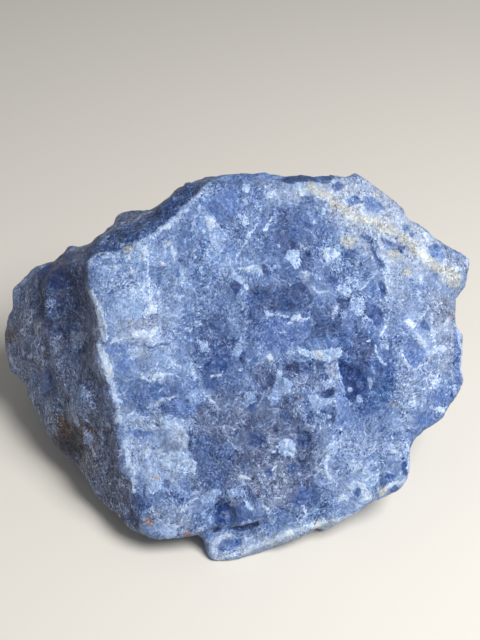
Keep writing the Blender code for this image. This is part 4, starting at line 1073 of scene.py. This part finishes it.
bends = [field(places, WARP_BEND, WARP_SEED + axis) for axis in range(3)]
warped = places + WARP * np.stack(bends, axis=1)
relief = np.zeros(len(places))
for row, (size, height) in enumerate(FACETS):
    relief += height * facets(warped, size, FACET_SEED + row) * lively
step_edge = np.ones(len(places))
for row, (size, height, rise) in enumerate(STEPS):
    slope = facets(warped, size, STEP_SEED + row) * height / rise
    part = slope - np.floor(slope)
    relief += rise * (ramp(part, 0.0, RISER) - part) * fresh
    step_edge = np.minimum(step_edge, np.minimum(part, 1.0 - part))
layers["step_edge"] = step_edge
print("facets and steps from", relief.min().round(2), "to", relief.max().round(2), "mm")

# %% [markdown]
# ### Furrows
#
# On the weathered side the weaker layers have worn back and left long furrows. They are the
# same noise in facets, stretched along the ridge and pushed about by the same bends.

# %% Furrows of the weathered side
# they run along its ridge, which leans this far from straight up the break
RIDGE_LEAN = math.radians(11.5)
# in mm
FURROW_WIDTH, FURROW_LENGTH, FURROW_DEPTH = 1.6, 5.0, 0.17

u, v, w = on_the_break(warped).T
furrows = np.stack((
    (u * math.cos(RIDGE_LEAN) + v * math.sin(RIDGE_LEAN)) / FURROW_WIDTH,
    (v * math.cos(RIDGE_LEAN) - u * math.sin(RIDGE_LEAN)) / FURROW_LENGTH,
    w / FURROW_WIDTH,
), axis=1)
relief += FURROW_DEPTH * facets(furrows, 1.0, FURROW_SEED) * (1.0 - fresh)
print("furrows lean by", round(math.degrees(RIDGE_LEAN), 1), "degrees")

# %% [markdown]
# ### Marks and hollows
#
# A flake or a bruised chip stands about a tenth of a millimetre proud, and a window or a dark
# grain lies as much below. The pits are deeper. All of it is pressed into the mesh itself,
# because a painted bump would leave the stone's outline smooth. Towards the underside the relief
# fades out, so that the stone still stands flat.

# %% Marks and hollows in the relief
# how far outside and inside its edge a mark or a hollow slopes, in mm
MARK_SLOPE = (-0.15, 0.25)
HOLLOW_SLOPE = (-0.3, 0.9)

for kind, (_, lift, _) in BLUE_AND_LIFT.items():
    relief += lift * ramp(layers[kind + "_reach"], *MARK_SLOPE)
for depth, outline in HOLLOWS:
    relief -= depth * ramp(inside_by(outline, ragged_across, ragged_up), *HOLLOW_SLOPE) * front
print("relief from", relief.min().round(2), "to", relief.max().round(2), "mm")

# %% Keep the underside flat and press the relief in
# the heights, in mm, between which the relief grows from nothing to its full depth
STANDING = (0.15, 1.8)

standing = ramp(places[:, 2], *STANDING)
places = places + normals * (relief * standing)[:, None]
places[:, 2] = np.maximum(places[:, 2], 0.0)
stone.data.vertices.foreach_set("co", (places * MM).ravel())
stone.data.update()
for name, values in layers.items():
    layer = stone.data.attributes.new(name, "FLOAT", "POINT")
    layer.data.foreach_set("value", values.astype(np.float32))
print("the skin keeps", len(layers), "numbers at each corner")

# %% [markdown]
# ## The stone's material
#
# The colour of sodalite is one blue at every brightness: navy where light sinks into clear
# crystal, sky blue where many small cracks send it back, white where the blow crushed it. So
# the material first works out one number, the tone, and a ramp turns that into colour.
#
# The tone starts from the broad zones. Scattered flakes of many sizes, from 4 mm down to the
# sugar of the grain, move it up and down, and each flake is painted brighter towards one of its
# edges: painted shade, as a thin chip that tilts to the light would show. Then the marks cover it,
# kind by kind.

# %% Colours and nodes
# sRGB is a straight line up to the first number and a power above it
SRGB_KNEE, SRGB_SLOPE, SRGB_LIFT, SRGB_POWER = 0.04045, 12.92, 0.055, 2.4


def linear(part):
    """One part of an sRGB colour, from 0 to 1, as linear light."""
    if part <= SRGB_KNEE:
        return part / SRGB_SLOPE
    return ((part + SRGB_LIFT) / (1.0 + SRGB_LIFT)) ** SRGB_POWER


def colour(text):
    """An sRGB hex colour as linear red, green, blue and alpha."""
    return (*(linear(int(text[at:at + 2], 16) / 255.0) for at in (1, 3, 5)), 1.0)


def add(tree, kind, *inputs, out=0, named=None, **settings):
    """Adds one node with its settings, then its inputs in order or by name, and gives an output."""
    made = tree.nodes.new("ShaderNode" + kind)
    for name, value in settings.items():
        setattr(made, name, value)
    for socket, value in [*enumerate(inputs), *(named or {}).items()]:
        if isinstance(value, bpy.types.NodeSocket):
            tree.links.new(value, made.inputs[socket])
        else:
            made.inputs[socket].default_value = value
    return made.outputs[out] if made.outputs else None


def fill_ramp(band, stops):
    """Gives a colour ramp its stops: each is a place and an sRGB hex colour."""
    while len(band.elements) < len(stops):
        band.elements.new(0.5)
    for element, (place, text) in zip(band.elements, stops):
        element.position = place
        element.color = colour(text)


print("a half in sRGB is", round(linear(0.5), 3), "of full light")

# %% Ramps from tone to colour
BLUE_STOPS = (
    (0.00, "#25315A"), (0.10, "#374875"), (0.23, "#4E618D"), (0.34, "#6175A1"), (0.44, "#7388B4"),
    (0.56, "#889DC7"), (0.67, "#9BB1D9"), (0.79, "#AFC5E9"), (0.93, "#CADCF6"), (1.00, "#DBE8FB"),
)
CREAM_STOPS = ((0.0, "#727889"), (0.3, "#9DA19E"), (0.6, "#C6C5B4"), (0.85, "#E2E0D0"), (1.0, "#F4F3EC"))
IRON_STOPS = ((0.0, "#5A3218"), (0.5, "#A87044"), (1.0, "#DDB678"))
BROWN_STOPS = ((0.0, "#221B1F"), (0.3, "#575053"), (0.6, "#827B79"), (1.0, "#B5B0A8"))
print("the blue ramp has", len(BLUE_STOPS), "stops")

# %% [markdown]
# ### Coordinates that suit a stone
#
# Object coordinates stay with the stone when it is turned. They are turned to the break's axes
# and scaled to millimetres, so that a pattern's size is a real size. Two noises push them about,
# which tears every straight edge. Each crystal also turns them its own way, because the
# flakes of one crystal lie side by side and those of the next one lie across them.

# %% Coordinates
# lumps per mm of a noise, and how far it pushes, in mm
PUSHES = (
    (0.35, 1.0),
    (1.4, 0.25),
)
# how wide a crystal is, in mm, and the angle by which it turns its flakes at most, in radians
CRYSTAL_SIZE = 3.125
CRYSTAL_TURN = 1.2
# how busy the grain is, by crystal and by larger patch: each range is where a number starts and
# ends, and what it is turned into there
CRYSTAL_BUSY = (0.2, 0.8, 0.6, 1.25)
PATCH_BUSY = (0.38, 0.62, 0.85, 1.2)
PATCHES_PER_MM = 0.22


def coordinates(tree):
    """Places on the break's axes in mm: as they are, pushed about, and along the ridge."""
    plain = add(tree, "Mapping", named={
        "Vector": add(tree, "TexCoord", out="Object"),
        "Scale": (1.0 / MM, 1.0 / MM, 1.0 / MM),
        "Rotation": (-BREAK_SLOPE, 0.0, 0.0),
    })
    ragged = plain
    for scale, shift in PUSHES:
        push = add(tree, "TexNoise", out="Color", named={"Vector": plain, "Scale": scale, "Detail": 2.0})
        push = add(tree, "VectorMath", push, (0.5, 0.5, 0.5), operation="SUBTRACT")
        ragged = add(tree, "VectorMath", push, (shift, shift, shift), ragged, operation="MULTIPLY_ADD")
    along = add(tree, "Mapping", named={"Vector": ragged, "Rotation": (0.0, 0.0, -RIDGE_LEAN)})
    return plain, ragged, along


def crystals(tree, plain, ragged):
    """How busy the grain is from crystal to crystal, and places turned as each crystal lies."""
    crystal = add(tree, "TexVoronoi", out="Color", named={"Vector": ragged, "Scale": 1.0 / CRYSTAL_SIZE})
    own = add(tree, "SeparateXYZ", crystal)
    lie = add(tree, "Math", own.node.outputs["Y"], 2.0 * CRYSTAL_TURN, -CRYSTAL_TURN,
              operation="MULTIPLY_ADD")
    lying = add(tree, "VectorRotate", rotation_type="Z_AXIS", named={"Vector": ragged, "Angle": lie})
    own = add(tree, "MapRange", own, *CRYSTAL_BUSY)
    patch = add(tree, "TexNoise", named={"Vector": plain, "Scale": PATCHES_PER_MM, "Detail": 2.0})
    patch = add(tree, "MapRange", patch, *PATCH_BUSY)
    return add(tree, "Math", patch, own, operation="MULTIPLY"), lying


print("crystals turn by up to", round(math.degrees(CRYSTAL_TURN)), "degrees either way")

# %% [markdown]
# ### Flakes, streaks and sugar
#
# A Voronoi texture divides space into cells, and each cell keeps a colour by chance. One helper
# reads three things from it: the cell's own tone, a painted shade that leans its tone from one
# edge to the other as if the cell tilted to the light, and a tilt for the bump. Stretched cells
# make streaks, and small ones make sugar, which lies as the flakes of its crystal do. The real
# sugar goes on below a tenth of a millimetre. It is drawn no finer than 0.16 by 0.32 mm, because
# a picture of the whole stone shows no less.

# %% Flakes
# width and height in mm, step of tone from flake to flake, painted shade across a flake as if it tilted to
# the light, tilt
FLAKES = (
    (3.2, 4.0, 0.08, 0.14, 0.10),
    (1.5, 1.9, 0.09, 0.10, 0.15),
    (0.8, 1.0, 0.12, 0.10, 0.20),
    (0.45, 0.55, 0.18, 0.08, 0.25),
)
STREAKS = (
    (0.8, 3.6, 0.16, 0.14, 0.20),
    (0.38, 1.6, 0.20, 0.10, 0.20),
)
SKIN_STREAKS = (
    (1.0, 2.6, 0.10, 0.12, 0.30),
    (0.5, 1.1, 0.16, 0.08, 0.30),
)
SUGAR = (
    (0.26, 0.48, 0.29, 0.10, 0.30),
    (0.16, 0.32, 0.66, 0.00, 0.25),
)
# few flakes are much paler or darker than the rest, because the step follows the cube of chance;
# four times the cube of a number between -1/2 and 1/2 lies between them again
CUBE_TO_STEP = 4.0
# a flake is tilted on both sides of its middle
BOTH_SIDES = 2.0


def flakes(tree, spot, rows):
    """Tone and height in mm of scattered flakes, each with its own tone, painted shade and tilt."""
    total, height = 0.0, 0.0
    for width, length, step, shade_lean, tilt in rows:
        squeeze = (1.0 / width, 1.0 / length, 1.0 / width)
        cell = add(tree, "VectorMath", spot, squeeze, operation="MULTIPLY")
        chance = add(tree, "TexVoronoi", out="Color", named={"Vector": cell, "Scale": 1.0})
        middle = chance.node.outputs["Position"]
        chance = add(tree, "VectorMath", chance, (0.5, 0.5, 0.5), operation="SUBTRACT")
        off = add(tree, "VectorMath", cell, middle, operation="SUBTRACT")
        slope = add(tree, "VectorMath", off, chance, out="Value", operation="DOT_PRODUCT")
        first = add(tree, "SeparateXYZ", chance)
        square = add(tree, "Math", first, first, operation="MULTIPLY")
        cube = add(tree, "Math", square, first, operation="MULTIPLY")
        total = add(tree, "Math", cube, CUBE_TO_STEP * step, total, operation="MULTIPLY_ADD")
        # painted shade: the tone leans across each flake as light on a tilted chip would
        total = add(tree, "Math", slope, shade_lean, total, operation="MULTIPLY_ADD")
        height = add(tree, "Math", slope, tilt * width * BOTH_SIDES, height, operation="MULTIPLY_ADD")
    return total, height


print("flakes from", FLAKES[0][1], "mm down to", FLAKES[-1][0], "mm, sugar to", SUGAR[-1][0], "mm")

# %% The grain as a whole
# the weathered skin is sandier than the break by this share
SKIN_SUGAR = 0.4


def grain(tree, kept, plain, ragged, along):
    """The tone of the flakes, the tone of the sugar on them, and the height of both in mm."""
    busy, lying = crystals(tree, plain, ragged)
    sugar, sugar_height = flakes(tree, lying, SUGAR)
    sandy = add(tree, "Math", kept["skin"], SKIN_SUGAR, 1.0, operation="MULTIPLY_ADD")
    sugar = add(tree, "Math", sugar, busy, operation="MULTIPLY")
    sugar = add(tree, "Math", sugar, sandy, operation="MULTIPLY")
    fresh_streaks, fresh_height = flakes(tree, lying, STREAKS)
    skin_streaks, skin_height = flakes(tree, along, SKIN_STREAKS)
    # the third and fourth inputs of a Mix node are the two numbers that it mixes
    streaks = add(tree, "Mix", kept["skin"], named={2: fresh_streaks, 3: skin_streaks})
    height = add(tree, "Mix", kept["skin"], named={2: fresh_height, 3: skin_height})
    pattern, flake_height = flakes(tree, ragged, FLAKES)
    busy = add(tree, "Math", busy, kept["lively"], operation="MULTIPLY")
    pattern = add(tree, "Math", pattern, streaks, operation="ADD")
    pattern = add(tree, "Math", pattern, busy, operation="MULTIPLY")
    height = add(tree, "Math", height, flake_height, operation="ADD")
    height = add(tree, "Math", height, sugar_height, operation="ADD")
    return pattern, sugar, height


# %% [markdown]
# ### Pale edges
#
# A thin edge of clear crystal crumbles and turns white. The edges of the relief's steps are kept
# by the skin, and those of the larger flakes come from the distance to a Voronoi cell's edge.
# Each is let through only in patches, because an unbroken net of lines would look like cloth.

# %% Pale edges of steps and flakes
# a step's edge as a share of the step, from where it starts to show to where it is full
STEP_EDGE = (0.10, 0.02)
# the ranges in which patches of noise let an edge show; the fourth number is how much paler it is
STEP_SHOWS = (-0.04, 0.06, 0.0, 0.16)
FLAKE_SHOWS = (0.52, 0.60)
EDGES = (
    # size of the flakes, half the width of a pale edge in mm, and how much paler it is
    (3.2, 0.16, 0.22),
    (1.5, 0.12, 0.20),
)
# the full strength of an edge takes up this share of its width
EDGE_CORE = 0.3
# the patches are a little smaller than the flakes
PATCHES_PER_FLAKE = 1.1


def pale_edges(tree, kept, plain, ragged, clouds, pattern):
    """The pattern with the pale edges of its steps and of its larger flakes."""
    edge = add(tree, "MapRange", kept["step_edge"], *STEP_EDGE)
    shows = add(tree, "MapRange", clouds, *STEP_SHOWS)
    pattern = add(tree, "Math", edge, shows, pattern, operation="MULTIPLY_ADD")
    for size, thickness, strength in EDGES:
        edge = add(tree, "TexVoronoi", feature="DISTANCE_TO_EDGE",
                   named={"Vector": ragged, "Scale": 1.0 / size})
        edge = add(tree, "MapRange", edge, thickness / size, EDGE_CORE * thickness / size)
        shows = add(tree, "TexNoise",
                    named={"Vector": plain, "Scale": PATCHES_PER_FLAKE / size, "Detail": 1.0})
        shows = add(tree, "MapRange", shows, *FLAKE_SHOWS, 0.0, strength)
        pattern = add(tree, "Math", edge, shows, pattern, operation="MULTIPLY_ADD")
    return pattern


# %% [markdown]
# ### The marks over the grain
#
# A mark covers the tone below it where its reach, torn by noise and by the sugar, is above
# zero. Some of the flakes' pattern shows through. A clear window is also calmer, glossier and a
# touch more violet, because one looks into the crystal there.

# %% The marks over the grain
# how much of the flakes shows through a kind of mark, how softly its edge fades and how far it is
# torn in mm, and how opaque it is
COVER = {
    "grey": (0.9, 0.40, 1.4, 0.80),
    "dark": (0.8, 0.15, 0.8, 0.90),
    "clear": (0.5, 0.12, 0.6, 0.92),
    "pale": (0.65, 0.06, 0.5, 0.94),
    "bruise": (0.6, 0.08, 0.55, 0.95),
}
# how far, in mm, the sugar tears an edge
SUGAR_TEAR = 0.4
# plain hue and roughness, and what a clear window changes them and the sugar by
PLAIN_HUE, PLAIN_ROUGHNESS = 0.5, 0.55
WINDOW_HUE, WINDOW_ROUGHNESS, WINDOW_SUGAR = 0.004, -0.2, -0.35


def marked(tree, kept, torn, pattern, sugar):
    """The tone under the marks, then the hue, the roughness and the sugar that they leave."""
    tone = add(tree, "Math", kept["base"], pattern, operation="ADD")
    hue, rough = PLAIN_HUE, PLAIN_ROUGHNESS
    for kind, (through, softness, tear, opaque) in COVER.items():
        reach = add(tree, "Math", torn, tear, kept[kind + "_reach"], operation="MULTIPLY_ADD")
        reach = add(tree, "Math", sugar, SUGAR_TEAR, reach, operation="MULTIPLY_ADD")
        cover = add(tree, "MapRange", reach, -softness, softness, 0.0, opaque,
                    interpolation_type="SMOOTHSTEP")
        own = add(tree, "Math", pattern, through, kept[kind + "_tone"], operation="MULTIPLY_ADD")
        tone = add(tree, "Mix", cover, named={2: tone, 3: own})
        if kind == "clear":
            hue = add(tree, "Math", cover, WINDOW_HUE, PLAIN_HUE, operation="MULTIPLY_ADD")
            rough = add(tree, "Math", cover, WINDOW_ROUGHNESS, PLAIN_ROUGHNESS, operation="MULTIPLY_ADD")
            calm = add(tree, "Math", cover, WINDOW_SUGAR, 1.0, operation="MULTIPLY_ADD")
            sugar = add(tree, "Math", sugar, calm, operation="MULTIPLY")
    tone = add(tree, "Math", tone, sugar, operation="ADD")
    return tone, hue, rough


# %% Painted glints
# painted glints: white specks that stand in for light caught by tiny cleavage faces, up to a
# third of a millimetre across, in those cells of a grid whose chance is high enough: cells per
# mm, then the glint's size from the chance, as a factor and a start
GLINTS_PER_MM = 1.3
GLINT_GROWTH, GLINT_START = 0.55, -0.33
# how deep inside a painted glint its full strength is reached, and how much paler it is
GLINT_RANGE = (0.0, 0.06, 0.0, 0.40)


def painted_glints(tree, plain, tone):
    """The tone with painted glints on it: white specks that stand in for light caught by tiny cleavage
    faces.
    """
    glint = add(tree, "TexVoronoi", named={"Vector": plain, "Scale": GLINTS_PER_MM})
    size = add(tree, "SeparateXYZ", glint.node.outputs["Color"])
    size = add(tree, "Math", size, GLINT_GROWTH, GLINT_START, operation="MULTIPLY_ADD")
    glint = add(tree, "Math", size, glint, operation="SUBTRACT")
    glint = add(tree, "MapRange", glint, *GLINT_RANGE)
    return add(tree, "Math", tone, glint, operation="ADD")


# %% [markdown]
# ### From tone to colour
#
# The blue ramp gives the colour of the tone. Its strength drifts from patch to patch, as the
# amount of other minerals in the rock does, and near the cream vein the hue turns a little
# towards green. The stains are ramps of their own, read at the same tone, so that a flake stays
# a flake under rust or crust.

# %% Blue and stains
# lumps per mm of the drift in the blue's strength, how far it goes, and where it starts
DRIFT_PER_MM = 0.45
DRIFT_RANGE, DRIFT_START = 0.4, -0.05
# from the edge of a stain's reach to the vein itself the hue turns by the last number
VEIN_HUE = (-STAIN_REACH, 0.0, 0.0, -0.004)
STAINS = (
    # kind, its stops, how far its edge is torn in mm and how opaque it is
    ("brown", BROWN_STOPS, 5.0, 0.70),
    ("cream", CREAM_STOPS, 5.0, 0.68),
    ("iron", IRON_STOPS, 3.0, 0.85),
)
# the reaches, in mm, between which a stain grows to its full cover
STAIN_EDGE = (-0.3, 0.5)


def coloured(tree, kept, torn, ragged, tone, hue):
    """The blue of a tone, with the stains over it."""
    drift = add(tree, "TexNoise", named={"Vector": ragged, "Scale": DRIFT_PER_MM, "Detail": 3.0})
    drift = add(tree, "Math", drift, DRIFT_RANGE, DRIFT_START, operation="MULTIPLY_ADD")
    strength = add(tree, "Math", drift, kept["blue"], operation="ADD")
    near_vein = add(tree, "MapRange", kept["cream_reach"], *VEIN_HUE)
    hue = add(tree, "Math", hue, near_vein, operation="ADD")
    blues = add(tree, "ValToRGB", tone)
    fill_ramp(blues.node.color_ramp, BLUE_STOPS)
    shade = add(tree, "HueSaturation", named={"Hue": hue, "Saturation": strength, "Color": blues})
    for kind, stops, tear, opaque in STAINS:
        reach = add(tree, "Math", torn, tear, kept[kind + "_reach"], operation="MULTIPLY_ADD")
        cover = add(tree, "MapRange", reach, *STAIN_EDGE, 0.0, opaque)
        stain = add(tree, "ValToRGB", tone)
        fill_ramp(stain.node.color_ramp, stops)
        shade = add(tree, "MixRGB", cover, shade, stain)
    return shade


# %% [markdown]
# ### Broken sodalite
#
# The surface was split, not ground or polished, so it is rough, with a faint waxy shine from
# the many tiny cleavage planes: a thin, soft coat over a rough base. The index of refraction
# of sodalite is 1.483, a little below that of window glass.

# %% Broken sodalite
# lumps per mm of the noise that tears edges, and of slow clouds in the tone
TORN_PER_MM = 0.9
CLOUDS_PER_MM, CLOUDS_STRENGTH = 0.30, 0.15


def broken_sodalite():
    """Sodalite as the hammer left it, rough and faintly waxy, with its weathered skin."""
    made = bpy.data.materials.new("broken_sodalite")
    made.use_nodes = True
    tree = made.node_tree
    tree.nodes.clear()
    # the numbers that the skin keeps at each corner, by name
    kept = {name: add(tree, "Attribute", out="Fac", attribute_name=name) for name in layers}
    plain, ragged, along = coordinates(tree)
    torn = add(tree, "TexNoise",
               named={"Vector": plain, "Scale": TORN_PER_MM, "Detail": 4.0, "Roughness": 0.7})
    torn = add(tree, "Math", torn, 0.5, operation="SUBTRACT")
    clouds = add(tree, "TexNoise", named={"Vector": plain, "Scale": CLOUDS_PER_MM, "Detail": 3.0})
    clouds = add(tree, "Math", clouds, 0.5, operation="SUBTRACT")

    pattern, sugar, height = grain(tree, kept, plain, ragged, along)
    pattern = add(tree, "Math", clouds, CLOUDS_STRENGTH, pattern, operation="MULTIPLY_ADD")
    pattern = pale_edges(tree, kept, plain, ragged, clouds, pattern)
    tone, hue, rough = marked(tree, kept, torn, pattern, sugar)
    # painted glints: white specks in place of light caught by tiny cleavage faces
    tone = painted_glints(tree, plain, tone)

    shader = add(tree, "BsdfPrincipled", named={
        "Base Color": coloured(tree, kept, torn, ragged, tone, hue),
        "Roughness": rough,
        "IOR": 1.483,
        "Normal": add(tree, "Bump", named={"Height": height, "Distance": MM}),
        "Coat Weight": 0.06,
        "Coat Roughness": 0.35,
    })
    add(tree, "OutputMaterial", shader)
    print(made.name, "has", len(tree.nodes), "nodes")
    return made


stone.data.materials.append(broken_sodalite())
choose_only(stone)
bpy.ops.object.shade_smooth()

# %% [markdown]
# ## Floor and light
#
# A stone is photographed on a matt, pale ground, so that no gloss competes with its own. One
# large soft light from the upper right shows the relief, and a weak even sky fills the shadows.

# %% Floor
bpy.ops.object.select_all(action="DESELECT")
bpy.ops.mesh.primitive_plane_add(size=3.0)
floor = bpy.context.object
floor.name = "pale_floor"
matt = bpy.data.materials.new("matt pale paper")
matt.use_nodes = True
paper = matt.node_tree.nodes["Principled BSDF"]
paper.inputs["Base Color"].default_value = colour("#D9D4CB")
paper.inputs["Roughness"].default_value = 0.8
floor.data.materials.append(matt)
print("floor", [round(side, 2) for side in floor.dimensions[:2]], "m")

# %% Light
# place, aim and size in mm, and power in watts
KEY_PLACE = Vector((190.0, -140.0, 350.0))
KEY_AIM = Vector((0.0, 0.0, 20.0))
KEY_SIZE = 220.0
KEY_POWER = 2.15
SKY_COLOUR = (0.95, 0.97, 1.0, 1.0)
SKY_STRENGTH = 0.26

key = bpy.data.lights.new("key", "AREA")
key.shape = "DISK"
key.size = KEY_SIZE * MM
key.energy = KEY_POWER
lamp = bpy.data.objects.new("key", key)
bpy.context.scene.collection.objects.link(lamp)
lamp.location = KEY_PLACE * MM
lamp.rotation_euler = (KEY_AIM - KEY_PLACE).to_track_quat("-Z", "Y").to_euler()

world = bpy.data.worlds.new("studio")
bpy.context.scene.world = world
world.use_nodes = True
sky = world.node_tree.nodes["Background"]
sky.inputs["Color"].default_value = SKY_COLOUR
sky.inputs["Strength"].default_value = SKY_STRENGTH
bpy.context.scene.view_settings.view_transform = "Standard"
print("key light", round((KEY_AIM - KEY_PLACE).length), "mm away")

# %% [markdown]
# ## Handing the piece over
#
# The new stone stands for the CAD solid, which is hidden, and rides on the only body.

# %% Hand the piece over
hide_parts("sodalite_chunk")
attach(stone, "root")
